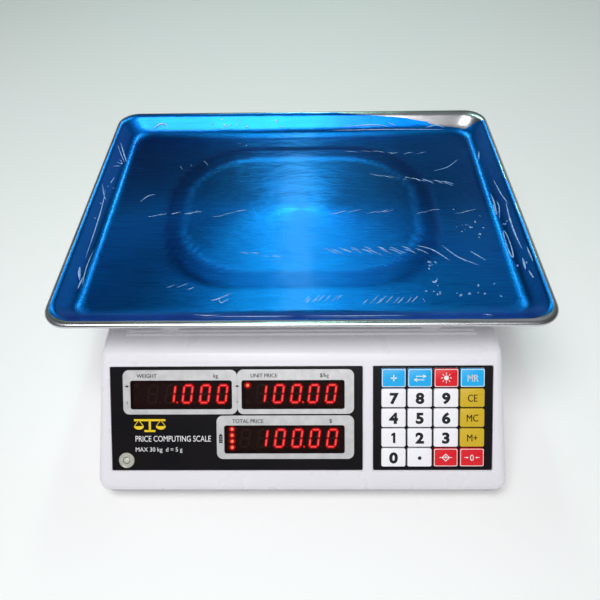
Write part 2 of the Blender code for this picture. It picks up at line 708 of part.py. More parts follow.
def spider():
    """The platform: a spine on the cell's rear end, a bar across each end of it, and four posts."""
    low, high = SPIDER_Z
    middle = (low + high) / 2
    spine_length = 2 * POST_Y_FROM_CENTRE
    frame = add_box("spider", (40 * MM, spine_length, high - low), (0, PAN_CENTRE_Y, middle), "cell_aluminium")
    for name, end in (("front_bar", -1), ("rear_bar", 1)):
        centre = (0, PAN_CENTRE_Y + end * POST_Y_FROM_CENTRE, middle)
        join(frame, add_box(name, (2 * POST_X + 15 * MM, 15 * MM, high - low - 0.4 * MM), centre, bevel=2 * MM))
    boss_low = CELL_Z + CELL_SIZE.z + GAP
    boss_high = low + 2 * MM
    boss_centre = (0, 84 * MM, (boss_low + boss_high) / 2)
    join(
        frame,
        add_box("cell_boss", (28 * MM, 30 * MM, boss_high - boss_low), boss_centre),
        add_pegs("posts", POSTS, POST_RADIUS, low + 2 * MM, BUFFER_TOP_Z - BUFFER_SKIN - GAP),
    )


def buffers():
    """A rubber cap on each post, on which the pan rests."""
    names = ("buffer_front_left", "buffer_rear_left", "buffer_front_right", "buffer_rear_right")
    top = BUFFER_TOP_Z
    profile = (
        (0, top),
        (BUFFER_RADIUS - MM, top),
        (BUFFER_RADIUS, top - MM),
        (BUFFER_RADIUS, 98 * MM),
        (POST_RADIUS + GAP, 98 * MM),
        (POST_RADIUS + GAP, top - BUFFER_SKIN),
        (0, top - BUFFER_SKIN),
    )
    for name, (x, y) in zip(names, POSTS):
        add_turned(name, profile, "rubber_black", (x, y, 0))


def main_board():
    board = add_box("main_board", (140 * MM, 75 * MM, BOARD_SHEET), (0, -96.5 * MM, MAIN_BOARD_Z + BOARD_SHEET / 2),
                    "board_green")
    top = MAIN_BOARD_Z + BOARD_SHEET
    parts = (((-30, -85), (24, 24, 4)), ((20, -80), (16, 30, 6)), ((45, -100), (12, 12, 13)), ((-50, -110), (20, 9, 8)))
    for number, ((x, y), (width, depth, height)) in enumerate(parts):
        centre = (x * MM, y * MM, top + height * MM / 2 - 0.4 * MM)
        join(board, add_box(f"main_board_part_{number}", (width * MM, depth * MM, height * MM), centre))


def power_supply():
    board_z = BASE_Z + WALL + 4 * MM
    supply = add_box("power_supply", (78 * MM, 62 * MM, BOARD_SHEET), (62 * MM, 102 * MM, board_z), "board_green")
    transformer = add_box("transformer", (40 * MM, 36 * MM, 27 * MM), (48 * MM, 102 * MM, board_z + 14 * MM))
    capacitor = add_pegs("capacitor", [(88 * MM, 90 * MM)], 8 * MM, board_z, board_z + 22 * MM)
    join(supply, transformer, capacitor)


def battery():
    low = BASE_Z + WALL + 2 * GAP
    centre = Vector((*BATTERY_AT, low + BATTERY_SIZE.z / 2))
    block = add_box("battery", BATTERY_SIZE, centre, "battery_grey", bevel=1.5 * MM, segments=1)
    for number, x in enumerate((-18, 18)):
        spot = centre + Vector((x * MM, 0, BATTERY_SIZE.z / 2))
        join(block, add_box(f"battery_tab_{number}", (6 * MM, MM, 3 * MM), spot))


def battery_hatch():
    """The cover under the battery, held by one screw in the housing's lug."""
    play = 0.5 * MM
    edge = rounded_outline(HATCH_X[0] + play, HATCH_X[1] - play, HATCH_Y[0] + play, HATCH_Y[1] - play, MM, 2)
    hole = circle_outline(*HATCH_SCREW_AT, 3.4 * MM)
    add_plate("battery_cover", [edge, hole], BASE_Z + 0.2 * MM, BASE_Z + 2.6 * MM, "base_grey")
    head_top = BASE_Z + 2.4 * MM
    profile = (
        (0, head_top + 5 * MM),
        (1.5 * MM, head_top + 5 * MM),
        (1.5 * MM, head_top),
        (3 * MM, head_top),
        (3 * MM, BASE_Z + 0.6 * MM),
        (0, BASE_Z + 0.6 * MM),
    )
    add_turned("battery_cover_screw", profile, "steel_zinc", (*HATCH_SCREW_AT, 0))


# ---- feet -----------------------------------------------------------------------------------------------


def feet():
    """At each corner a threaded stud in the housing's boss, and the pad that turns it."""
    socket = 3 * MM
    profile = (
        (0, socket),
        (STUD_RADIUS + GAP, socket),
        (STUD_RADIUS + GAP, PAD_HEIGHT),
        (PAD_RADIUS - 3 * MM, PAD_HEIGHT),
        (PAD_RADIUS, PAD_HEIGHT - 2 * MM),
        (PAD_RADIUS, 1.2 * MM),
        (PAD_RADIUS - 1.2 * MM, 0),
        (0, 0),
    )
    for corner, (x, y) in FEET.items():
        stud = add_pegs(f"foot_stud_{corner}", [(0, 0)], STUD_RADIUS, socket + GAP, STUD_TOP_Z, "steel_zinc")
        stud.location = (x, y, 0)
        add_turned(f"foot_pad_{corner}", profile, "rubber_black", (x, y, 0))


# ---- pan and its film -----------------------------------------------------------------------------------

# The pan's upper side from the middle out: half width, half depth, corner radius, drop below the rim.
PAN_RINGS = (
    (99.5, 72, 46, 15.0),
    (111, 90, 56, 13.0),
    (158, 110, 12, 13.0),
    (162.5, 114.7, 14, 12.0),
    (166.5, 119, 15, 9.2),
    (171.5, 125.3, 16, 3.6),
    (173.8, 128.2, 16.5, 1.2),
    (176.3, 131.2, 17, 0.1),
    (178, 133, 17.5, 0.0),
    (179, 134, 18, 1.0),
    (179, 134, 18, 4.0),
)
FILM_RINGS = 7  # the film ends at the top of the pan's wall
PAN_CENTRE = Vector((0, PAN_CENTRE_Y, RIM_Z))


def pan_surface(ring_count):
    rings = []
    for half_x, half_y, radius, drop in PAN_RINGS[:ring_count]:
        centre = PAN_CENTRE_Y / MM
        edges = (value * MM for value in (-half_x, half_x, centre - half_y, centre + half_y, radius))
        rings.append((rounded_outline(*edges), RIM_Z - drop * MM))
    shape = loft(rings)
    middle = min(shape.faces, key=lambda face: (face.calc_center_median() - PAN_CENTRE).length)
    middle.normal_update()
    if middle.normal.z < 0:  # the pan's inside faces up
        bmesh.ops.reverse_faces(shape, faces=shape.faces)
    return shape


def surface_object(name, shape, paint):
    mesh = bpy.data.meshes.new(name)
    shape.to_mesh(mesh)
    shape.free()
    mesh.shade_smooth()
    return add_object(name, mesh, paint)


def weighing_pan():
    make_shell(surface_object("weighing_pan", pan_surface(len(PAN_RINGS)), "steel_stainless"), PAN_SHEET)


def protective_film():
    """The film stuck over the pan's inside, a hair above the steel."""
    shape = pan_surface(FILM_RINGS)
    shape.normal_update()
    for vert in shape.verts:
        vert.co += vert.normal * GAP
    make_shell(surface_object("protective_film", shape, "film_blue"), FILM_SHEET, outwards=True)


def main():
    top_housing()
    bottom_housing()
    display_label()
    keypad_frame()
    keys()
    front_electronics()
    rear_panel()
    power_switch()
    power_rocker()
    power_inlet()
    load_cell()
    load_cell_bracket()
    spider()
    buffers()
    main_board()
    power_supply()
    battery()
    battery_hatch()
    feet()
    weighing_pan()
    protective_film()


main()
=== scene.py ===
"""The looks of a counter-top price computing scale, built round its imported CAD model.

Metres, +Z up, -Y towards the operator. The CAD model gives every place: the panel's tilt comes from the way
its keys travel, and each piece's position from the box of the CAD node that it stands for.
"""

import json
import random
from math import atan2, copysign, cos, hypot, pi, radians, sin, sqrt, tan

import bmesh
import bpy
from mathutils import Matrix, Vector, noise

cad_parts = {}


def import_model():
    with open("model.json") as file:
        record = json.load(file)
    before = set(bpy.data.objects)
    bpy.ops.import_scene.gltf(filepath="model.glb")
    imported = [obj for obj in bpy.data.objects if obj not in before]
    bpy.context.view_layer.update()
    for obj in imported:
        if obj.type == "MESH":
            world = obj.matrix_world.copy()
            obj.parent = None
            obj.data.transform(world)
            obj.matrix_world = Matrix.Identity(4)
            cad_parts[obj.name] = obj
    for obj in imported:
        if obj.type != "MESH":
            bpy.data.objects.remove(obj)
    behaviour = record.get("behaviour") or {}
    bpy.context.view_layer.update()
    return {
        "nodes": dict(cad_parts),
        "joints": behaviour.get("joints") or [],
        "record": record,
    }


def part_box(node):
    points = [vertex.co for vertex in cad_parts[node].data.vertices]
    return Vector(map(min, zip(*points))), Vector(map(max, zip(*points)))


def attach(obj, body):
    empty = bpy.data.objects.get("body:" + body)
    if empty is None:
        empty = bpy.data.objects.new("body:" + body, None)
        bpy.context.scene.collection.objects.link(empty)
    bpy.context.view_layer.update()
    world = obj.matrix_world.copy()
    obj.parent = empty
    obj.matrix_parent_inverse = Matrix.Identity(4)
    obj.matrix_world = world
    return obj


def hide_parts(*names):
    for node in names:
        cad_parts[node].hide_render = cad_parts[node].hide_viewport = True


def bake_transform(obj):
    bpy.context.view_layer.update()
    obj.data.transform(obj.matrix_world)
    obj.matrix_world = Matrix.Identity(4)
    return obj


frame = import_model()

MM = 0.001
RECORD = frame["record"]
JOINTS = {joint["name"]: joint for joint in frame["joints"]}
CORNERS = ("front_left", "front_right", "rear_left", "rear_right")


def mm(*values):
    """Millimetres in metres."""
    return tuple(value * MM for value in values)


def middle_of(node):
    low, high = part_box(node)
    return (low + high) / 2


# ---- places read from the CAD model ----

LABEL_LOW, LABEL_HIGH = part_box("front_display_label")
KEYPAD_LOW, KEYPAD_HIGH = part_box("keypad_frame")
REAR_LOW, REAR_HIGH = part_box("rear_display_label")
SHELL_LOW, SHELL_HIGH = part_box("top_housing")
TRAY_LOW, TRAY_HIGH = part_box("bottom_housing")
PAN_LOW, PAN_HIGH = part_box("weighing_pan")
PAN_CENTRE = (PAN_LOW + PAN_HIGH) / 2
RIM_Z = PAN_HIGH.z

KEY_PRESS = Vector(JOINTS["key_5_press"]["axis"])
PANEL_TILT = atan2(KEY_PRESS.y, -KEY_PRESS.z)
LABEL_SHEET = 0.8 * MM
LABEL_FACE = -0.1 * MM  # the labels' faces, measured out of the housing's
LABEL_HEIGHT = 76 * MM


def panel_matrix():
    """The front panel's frame, from the labels' upper edge: X to the right, Y up its slope, Z outwards."""
    turn = Matrix.Rotation(PANEL_TILT, 4, "X")
    upper_edge = Vector((0, LABEL_HIGH.y - LABEL_SHEET * sin(PANEL_TILT), LABEL_HIGH.z))
    return Matrix.Translation(upper_edge - turn @ Vector((0, 0, LABEL_FACE))) @ turn


FRONT = panel_matrix()
DRAFT = radians(3.62)
BASE_Z = TRAY_LOW.z
SEAM_Z = SHELL_LOW.z
RIDGE_ABOVE_LABEL = 10 * MM
LIP_BELOW_LABEL_TOP = 87.5 * MM
RIDGE = FRONT @ Vector((0, RIDGE_ABOVE_LABEL, 0))
LIP = FRONT @ Vector((0, -LIP_BELOW_LABEL_TOP, 0))
REAR_TOP_Y = SHELL_HIGH.y - 6 * MM
REAR_TILT = atan2(RIDGE.z - SEAM_Z, SHELL_HIGH.y - REAR_TOP_Y)
REAR_Z = (REAR_LOW.z + REAR_HIGH.z) / 2
REAR_Y = REAR_TOP_Y + (RIDGE.z - REAR_Z) / tan(REAR_TILT)
REAR = (
    Matrix.Translation((0, REAR_Y, REAR_Z)) @ Matrix.Rotation(pi, 4, "Z") @ Matrix.Rotation(REAR_TILT, 4, "X")
)
BASE_HALF_X = 150.5 * MM


def half_width_at(z):
    """Half of the housing's width at a height: its side walls lean in by the draft."""
    return BASE_HALF_X - (z - BASE_Z) * tan(DRAFT)


SIDE_Z = middle_of("power_inlet").z
SIDE = Matrix.Translation((half_width_at(SIDE_Z), 0, SIDE_Z)) @ Matrix.Rotation(pi / 2, 4, "Z") @ (
    Matrix.Rotation(pi / 2 - DRAFT, 4, "X")
)

# The silver frames printed round the three windows, and the windows: left, right, lower and upper edges.
WINDOWS = (
    (mm(-129, -46.1, -34.8, -2.3), mm(-123.2, -50.3, -30.6, -10.4)),
    (mm(-46.0, 38.4, -34.7, -2.1), mm(-42.4, 31.2, -30.6, -10.4)),
    (mm(-61.3, 38.4, -67.8, -35.8), mm(-55.4, 31.2, -63.3, -43.5)),
)
FRAME_CORNER = 4.5 * MM
WINDOW_CORNER = 1.2 * MM

DIGIT_PITCH = 12.7 * MM
DIGIT_HEIGHT = 14.2 * MM
DIGIT_WIDTH = 7.6 * MM
DIGIT_SLANT = tan(radians(8))
SEGMENT = 1.50 * MM
LED_FACE = -2.9 * MM

KEY_WIDTH = 17.4 * MM
KEY_HEIGHT = 13.4 * MM
KEY_TOP = 1.3 * MM
KEY_BOTTOM = -3 * MM
INK = 0.04 * MM  # how far print stands off what it is printed on


# ---- materials ----

class Paint:
    """A Principled material whose colour, roughness and relief come from noise in the object's own space."""

    def __init__(self, name, colour, roughness, metallic=0.0):
        self.material = bpy.data.materials.new(name)
        self.material.use_nodes = True
        self.tree = self.material.node_tree
        self.shader = self.tree.nodes["Principled BSDF"]
        self.place = self.node("ShaderNodeTexCoord").outputs["Object"]
        self.colour = colour
        self.roughness = roughness
        self.set("Base Color", (*colour, 1))
        self.set("Roughness", roughness)
        self.set("Metallic", metallic)

    def node(self, kind, **values):
        made = self.tree.nodes.new(kind)
        for key, value in values.items():
            setattr(made, key, value)
        return made

    def set(self, socket, value):
        self.shader.inputs[socket].default_value = value
        return self

    def link(self, out, into):
        self.tree.links.new(out, into)

    def noise(self, scale, detail=2.0, stretch=(1, 1, 1), roughness=0.5):
        """Noise with about that many cells a metre, pulled out along an axis where stretch is small."""
        mapping = self.node("ShaderNodeMapping")
        mapping.inputs["Scale"].default_value = stretch
        self.link(self.place, mapping.inputs["Vector"])
        made = self.node("ShaderNodeTexNoise")
        made.inputs["Scale"].default_value = scale
        made.inputs["Detail"].default_value = detail
        made.inputs["Roughness"].default_value = roughness
        self.link(mapping.outputs["Vector"], made.inputs["Vector"])
        return made.outputs["Fac"]

    def spread(self, fac, low, high, start=0.3, stop=0.7):
        made = self.node("ShaderNodeMapRange")
        for socket, value in zip(("From Min", "From Max", "To Min", "To Max"), (start, stop, low, high)):
            made.inputs[socket].default_value = value
        self.link(fac, made.inputs["Value"])
        return made.outputs["Result"]

    def vary_colour(self, fac, other, start=0.35, stop=0.65):
        """Runs from the colour to another along the noise."""
        made = self.node("ShaderNodeMix", data_type="RGBA")
        self.link(self.spread(fac, 0, 1, start, stop), made.inputs["Factor"])
        made.inputs[6].default_value = (*self.colour, 1)
        made.inputs[7].default_value = (*other, 1)
        self.link(made.outputs[2], self.shader.inputs["Base Color"])
        return self

    def vary_roughness(self, fac, amount):
        low, high = self.roughness - amount, self.roughness + amount
        self.link(self.spread(fac, max(low, 0.02), high), self.shader.inputs["Roughness"])
        return self

    def relief(self, fac, height, strength=1.0, coat=False):
        made = self.node("ShaderNodeBump")
        made.inputs["Distance"].default_value = height
        made.inputs["Strength"].default_value = strength
        self.link(fac, made.inputs["Height"])
        self.link(made.outputs["Normal"], self.shader.inputs["Normal"])
        if coat:
            self.link(made.outputs["Normal"], self.shader.inputs["Coat Normal"])
        return self


def dimmed(colour, share):
    return tuple(channel * share for channel in colour)


def plastic(name, colour, roughness, grain=0.02 * MM, cells=1400):
    """Moulded plastic: a fine spark-eroded grain, and slow changes of tone and gloss."""
    paint = Paint(name, colour, roughness)
    paint.vary_colour(paint.noise(14, 3), dimmed(colour, 0.975))
    paint.vary_roughness(paint.noise(45, 3), 0.05)
    paint.relief(paint.noise(cells, 2), grain, 0.5)
    return paint


def ink(name, colour, roughness=0.4, metallic=0.0):
    paint = Paint(name, colour, roughness, metallic)
    paint.vary_colour(paint.noise(160, 2), dimmed(colour, 0.88))
    return paint.vary_roughness(paint.noise(90, 2), 0.06)


def label_black():
    """Glossy black sheet with a very faint orange peel under its clear face."""
    paint = Paint("label_black_looks", (0.0035, 0.0030, 0.0050), 0.36)
    paint.vary_colour(paint.noise(30, 2), (0.006, 0.0045, 0.006))
    paint.set("Specular IOR Level", 0.14)
    paint.set("Coat Weight", 0.15).set("Coat Roughness", 0.12)
    return paint.relief(paint.noise(260, 2), 0.02 * MM, 0.6, coat=True)


def filter_red():
    """Clear dark red sheet, which lets the digits through."""
    paint = Paint("filter_red_looks", (0.016, 0.002, 0.002), 0.10)
    paint.vary_roughness(paint.noise(60, 2), 0.03)
    return paint.set("Alpha", 0.38).set("Specular IOR Level", 0.12)


def glow(name, colour, strength):
    paint = Paint(name, colour, 0.4)
    paint.set("Emission Color", (*colour, 1)).set("Emission Strength", strength)
    return paint.vary_roughness(paint.noise(200, 2), 0.1)


def brushed_steel(name, colour, roughness):
    """Stainless sheet: fine lines along X, and faint smears where it was wiped."""
    paint = Paint(name, colour, roughness, 1.0)
    lines = paint.noise(90, 4, (0.25, 30, 30))
    paint.vary_colour(lines, dimmed(colour, 0.86))
    paint.vary_roughness(paint.noise(25, 3), 0.05)
    paint.set("Anisotropic", 0.5)
    return paint.relief(lines, 0.03 * MM, 0.25)


def blue_film():
    """Clear blue film on brushed steel: the steel glints through it. On the raised band of the floor its colour is
    darkened, a painted shade.
    """
    paint = Paint("film_blue_looks", (0.003, 0.195, 0.70), 0.30, 1.0)
    brush = paint.noise(90, 4, (0.25, 30, 30))
    paint.vary_colour(paint.noise(11, 3, (1, 0.6, 1)), (0.002, 0.130, 0.56))
    # Painted shade on the raised band: the band layer multiplies the film's colour darker there.
    band = paint.node("ShaderNodeAttribute", attribute_name="band")
    shade = paint.node("ShaderNodeMix", data_type="RGBA", blend_type="MULTIPLY")
    paint.link(paint.shader.inputs["Base Color"].links[0].from_socket, shade.inputs[6])
    shade.inputs[7].default_value = (0.6, 0.62, 0.72, 1)
    paint.link(band.outputs["Fac"], shade.inputs["Factor"])
    paint.link(shade.outputs[2], paint.shader.inputs["Base Color"])
    paint.vary_roughness(brush, 0.05)
    paint.set("Anisotropic", 0.75)
    paint.set("Coat Weight", 0.12).set("Coat Roughness", 0.12)
    creases = paint.noise(70, 5, (0.5, 1, 1), 0.65)
    return paint.relief(creases, 1.1 * MM, 0.35, coat=True)


def crease_glint():
    """Where the film is folded or lifted: a pale, half clear blue, a painted highlight that stands in for the
    glints along its crest.
    """
    paint = Paint("film_crease_painted_highlight", (0.22, 0.50, 0.88), 0.22)
    paint.vary_colour(paint.noise(300, 2), (0.62, 0.84, 1.0))
    return paint.set("Coat Weight", 1.0).set("Coat Roughness", 0.05).set("Alpha", 0.55)


def rubber():
    paint = Paint("rubber_black_looks", (0.016, 0.016, 0.017), 0.75)
    paint.vary_colour(paint.noise(60, 3), (0.030, 0.030, 0.032))
    return paint.relief(paint.noise(1800, 2), 0.03 * MM, 0.6)


def circuit_board():
    paint = Paint("board_green_looks", (0.02, 0.16, 0.06), 0.35)
    paint.vary_colour(paint.noise(300, 1, (1, 0.1, 1)), (0.03, 0.26, 0.10), 0.45, 0.55)
    return paint.relief(paint.noise(300, 1, (1, 0.1, 1)), 0.02 * MM, 0.5)


def cast_metal(name, colour, roughness):
    paint = Paint(name, colour, roughness, 1.0)
    paint.vary_colour(paint.noise(70, 4), dimmed(colour, 0.8))
    paint.vary_roughness(paint.noise(50, 3), 0.08)
    return paint.relief(paint.noise(900, 3), 0.03 * MM, 0.5)


def level_clear():
    """Pale liquid under a clear cap."""
    paint = Paint("level_clear_looks", (0.40, 0.41, 0.34), 0.12)
    paint.vary_colour(paint.noise(500, 2), (0.52, 0.52, 0.45))
    return paint.set("Coat Weight", 0.6).set("Coat Roughness", 0.05)


KEY_TINTS = {
    "key_white": (0.90, 0.89, 0.94),
    "key_blue": (0.012, 0.42, 0.86),
    "key_red": (0.72, 0.012, 0.022),
    "key_yellow": (0.64, 0.43, 0.02),
}

PAINTS = {
    "housing_white": plastic("housing_white_looks", (0.79, 0.775, 0.83), 0.30),
    "base_grey": plastic("base_grey_looks", (0.50, 0.48, 0.48), 0.45, 0.04 * MM),
    "label_black": label_black(),
    "filter_red": filter_red(),
    "led_black": plastic("led_black_looks", (0.012, 0.007, 0.006), 0.6),
    "board_green": circuit_board(),
    "rubber_black": rubber(),
    "cell_aluminium": cast_metal("cell_aluminium_looks", (0.75, 0.76, 0.78), 0.35),
    "steel_zinc": cast_metal("steel_zinc_looks", (0.62, 0.62, 0.60), 0.32),
    "steel_stainless": brushed_steel("steel_stainless_looks", (0.62, 0.63, 0.65), 0.24),
    "film_blue": blue_film(),
    "battery_grey": plastic("battery_grey_looks", (0.10, 0.10, 0.11), 0.5),
    "fitting_black": plastic("fitting_black_looks", (0.018, 0.018, 0.019), 0.38),
    "level_clear": level_clear(),
    **{slot: plastic(slot + "_looks", tint, 0.30, 0.01 * MM) for slot, tint in KEY_TINTS.items()},
}
# The creases' pale colour is a painted highlight.
FILM_CREASE_HIGHLIGHT = crease_glint()
SILVER_INK = ink("silver_ink", (0.62, 0.62, 0.63), 0.42, 0.35)
DARK_INK = ink("dark_ink", (0.015, 0.015, 0.018)).set("Specular IOR Level", 0.2)
WHITE_INK = ink("white_ink", (0.85, 0.85, 0.86))
YELLOW_INK = ink("yellow_ink", (0.88, 0.62, 0.01))
LIT = glow("digit_lit", (1.0, 0.012, 0.016), 1.5)
LIT_CORE = glow("digit_core", (1.0, 0.090, 0.085), 2.4)
# Painted glow: a dim emissive rim laid on the dark LED face round each lit segment and dot, for the light that
# spills round them.
HALO = glow("digit_halo", (1.0, 0.0, 0.0), 0.16)
DOT_LIT = glow("dot_lit", (1.0, 0.22, 0.09), 3.0)
UNLIT = ink("digit_unlit", (0.050, 0.042, 0.026), 0.6)
BUBBLE = ink("bubble", (0.62, 0.63, 0.56), 0.1)
BRASS = cast_metal("blade_brass", (0.80, 0.68, 0.42), 0.25)


# ---- building pieces ----

def finish_piece(made, body, slot=None, replaces=(), matrix=None, paint=None):
    """Gives a piece its paint and place, hangs it on the empty of the body it rides on, and hides the CAD nodes it
    stands for.
    """
    made.data.materials.clear()
    made.data.materials.append((paint or PAINTS[slot]).material)
    if matrix is not None:
        made.matrix_world = matrix
    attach(made, body)
    if replaces:
        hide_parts(*replaces)


def placed(name, data):
    """A new object with that data, in the scene."""
    made = bpy.data.objects.new(name, data)
    bpy.context.scene.collection.objects.link(made)
    return made


def mesh_from(name, shape):
    mesh = bpy.data.meshes.new(name)
    shape.to_mesh(mesh)
    shape.free()
    return mesh


def smooth(mesh, angle):
    mesh.shade_smooth()
    mesh.set_sharp_from_angle(angle=radians(angle))


def object_from(name, shape, smooth_angle=35, matrix=None):
    bmesh.ops.recalc_face_normals(shape, faces=shape.faces)
    mesh = mesh_from(name, shape)
    smooth(mesh, smooth_angle)
    made = placed(name, mesh)
    if matrix is not None:
        made.matrix_world = matrix
    return made


def result_mesh(made):
    """The object's mesh as its modifiers or its curve's filling leave it."""
    bpy.context.view_layer.update()
    return bpy.data.meshes.new_from_object(made.evaluated_get(bpy.context.evaluated_depsgraph_get()))


def settle(made, smooth_angle=35):
    """Turns the modifiers' result into the object's own mesh."""
    mesh = result_mesh(made)
    made.modifiers.clear()
    made.data = mesh
    smooth(mesh, smooth_angle)


def rounded(left, right, low, high, radius, steps=8):
    """The points of a rectangle with round corners, anticlockwise."""
    points = []
    for x, y, start in ((right, low, -90), (right, high, 0), (left, high, 90), (left, low, 180)):
        centre_x = x - copysign(radius, x - (left + right) / 2)
        centre_y = y - copysign(radius, y - (low + high) / 2)
        for step in range(steps + 1):
            angle = radians(start + 90 * step / steps)
            points.append((centre_x + radius * cos(angle), centre_y + radius * sin(angle)))
    return points


def turns(steps):
    return [2 * pi * step / steps for step in range(steps)]


def circle(x, y, radius, steps=32):
    return [(x + radius * cos(turn), y + radius * sin(turn)) for turn in turns(steps)]


def loft(rings, shape=None, caps=(0, -1), wrapped=False):
    """A skin over rings of equally many points, capped at the rings named or wrapped from last to first."""
    shape = shape or bmesh.new()
    rows = [[shape.verts.new(point) for point in ring] for ring in rings]
    for lower, upper in zip(rows, rows[1:] + rows[:1] if wrapped else rows[1:]):
        for step, (here, there) in enumerate(zip(lower, upper)):
            shape.faces.new((lower[step - 1], here, there, upper[step - 1]))
    for end in () if wrapped else caps:
        shape.faces.new(rows[end])
    return shape


def quarter_turn(steps):
    return [pi / 2 * step / steps for step in range(steps + 1)]


def grown(edges, by):
    left, right, low, high = edges
    return left - by, right + by, low - by, high + by


def inset_ring(edges, radius, inset, z, steps):
    """A rectangle with round corners, drawn in all round by the inset, at a height."""
    return [(x, y, z) for x, y in rounded(*grown(edges, -inset), radius - inset, steps)]


def cushioned_plate(edges, radius, low, high, rounding, steps=8):
    """A plate with round corners whose upper edge is rounded over."""
    rings = [inset_ring(edges, radius, 0, low, steps)]
    for angle in quarter_turn(4):
        inset, drop = rounding * (1 - cos(angle)), rounding * (1 - sin(angle))
        rings.append(inset_ring(edges, radius, inset, high - drop, steps))
    return loft(rings)


def turned(profile, centre=(0, 0, 0), steps=40, shape=None, flutes=0, flute_depth=0.0):
    """A turned solid from a closed profile (radius, height). Flutes are shallow scallops round its widest part."""
    widest = max(radius for radius, _ in profile)
    rings = []
    for radius, height in profile:
        ring = []
        for angle in turns(steps):
            ripple = flute_depth * (0.5 - 0.5 * cos(flutes * angle)) if radius > widest * 0.93 else 0
            reach = max(radius, 0.00001) - ripple
            ring.append((centre[0] + reach * cos(angle), centre[1] + reach * sin(angle), centre[2] + height))
        rings.append(ring)
    return loft(rings, shape)


def rod(name, radius, low, high, x, y, steps=24, matrix=None):
    """An upright cylinder, as a cutter."""
    return object_from(name, turned(((radius, low), (radius, high)), (x, y, 0), steps), matrix=matrix)


def box_piece(name, low, high, rounding):
    shape = bmesh.new()
    size = [b - a for a, b in zip(low, high)]
    middle = [(a + b) / 2 for a, b in zip(low, high)]
    bmesh.ops.create_cube(shape, size=1, matrix=Matrix.Translation(middle) @ Matrix.Diagonal((*size, 1)))
    if rounding:
        bmesh.ops.bevel(shape, geom=list(shape.edges), offset=rounding, segments=2, profile=0.5, affect="EDGES")
    return object_from(name, shape)


def cut(target, cutters, operation="DIFFERENCE", folded=False):
    """Takes the cutters away from the target, or adds them to it. A folded target's skin may meet itself."""
    for cutter in cutters:
        boolean = target.modifiers.new(cutter.name, "BOOLEAN")
        boolean.operation = operation
        boolean.use_self = folded
        boolean.solver = "EXACT"
        boolean.object = cutter
    settle(target)
    for cutter in cutters:
        bpy.data.objects.remove(cutter, do_unlink=True)


class Print:
    """Flat printed or lit shapes, gathered into one thin mesh that lies in a panel's own frame."""

    def __init__(self, name, height=LABEL_FACE, thickness=INK):
        self.name = name
        self.height = height
        self.thickness = thickness
        self.shape = bmesh.new()

    def take_in(self, curve, extrude, matrix):
        """Takes in a filled curve, set in the print's plane."""
        curve.extrude = extrude
        made = placed("print_blank", curve)
        mesh = result_mesh(made)
        mesh.transform(Matrix.Translation((0, 0, self.height + self.thickness / 2)) @ matrix)
        self.shape.from_mesh(mesh)
        bpy.data.objects.remove(made, do_unlink=True)
        bpy.data.meshes.remove(mesh)

    def area(self, *outlines):
        """A filled outline. The ones after the first are holes in it."""
        curve = bpy.data.curves.new("outline", "CURVE")
        curve.dimensions = "2D"
        curve.fill_mode = "BOTH"
        for outline in outlines:
            spline = curve.splines.new("POLY")
            spline.points.add(len(outline) - 1)
            spline.use_cyclic_u = True
            for point, (x, y) in zip(spline.points, outline):
                point.co = (x, y, 0, 1)
        self.take_in(curve, self.thickness / 2, Matrix.Identity(4))

    def bar(self, start, end, width):
        """A straight stroke."""
        start, end = Vector(start), Vector(end)
        along = (end - start).normalized()
        side = Vector((-along.y, along.x)) * width / 2
        self.area([start + side, start - side, end - side, end + side])

    def text(self, words, x, y, height, align="CENTER", bold=0.0, narrow=1.0, struck=0.0):
        """Words whose capitals are that high, centred on y. Struck words are printed twice, that far apart."""
        if struck:
            for side in (-1, 1):
                self.text(words, x + side * struck / 2, y, height, align, bold, narrow)
            return
        curve = bpy.data.curves.new("words", "FONT")
        curve.body = words
        curve.align_x = align
        curve.offset = bold
        curve.resolution_u = 4
        capital = 0.73  # of the font's size
        size = height / capital
        scale = Matrix.Diagonal((size * narrow, size, self.thickness, 1))
        self.take_in(curve, 0.5, Matrix.Translation((x, y - height / 2, 0)) @ scale)

    def piece(self, paint, matrix=FRONT, body="base"):
        bmesh.ops.remove_doubles(self.shape, verts=self.shape.verts, dist=0.001 * MM)
        finish_piece(object_from(self.name, self.shape, 20), body, matrix=matrix, paint=paint)


# ---- housing ----

POSTS = [middle_of("buffer_" + corner).xy.to_tuple() for corner in CORNERS]
COLLAR_TOP = SHELL_HIGH.z
DECK_MARGIN = 22 * MM
POST_HOLE = 9.47 * MM
LEVEL_LOW, LEVEL_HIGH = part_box("level_vial")
LEVEL_SPOT = FRONT.inverted() @ middle_of("level_vial")
DISPLAY_EDGES = (LABEL_LOW.x, LABEL_HIGH.x, -LABEL_HEIGHT, 0)
KEYPAD_EDGES = (KEYPAD_LOW.x, KEYPAD_HIGH.x, -LABEL_HEIGHT, 0)
REAR_EDGES = (REAR_LOW.x, REAR_HIGH.x, -21 * MM, 21 * MM)


def around(x, size):
    """The edges of a rectangle of that size about a point on the panel's X axis."""
    return x - size[0] / 2, x + size[0] / 2, -size[1] / 2, size[1] / 2


def panel_cutter(name, edges, low, high, matrix=None, radius=0.8 * MM):
    """A block with round corners, set in a panel's frame."""
    return object_from(name, loft([inset_ring(edges, radius, 0, z, 4) for z in (low, high)]), matrix=matrix)


def groove(name, edges, width, depth, matrix, radius=1.5 * MM):
    """A cutter for a narrow groove that runs round a rectangle."""
    half, proud = width / 2, 2 * MM
    rings = [inset_ring(edges, radius, inset, z, 4)
             for inset, z in ((half, -depth), (-half, -depth), (-half, proud), (half, proud))]
    return object_from(name, loft(rings, wrapped=True), matrix=matrix)


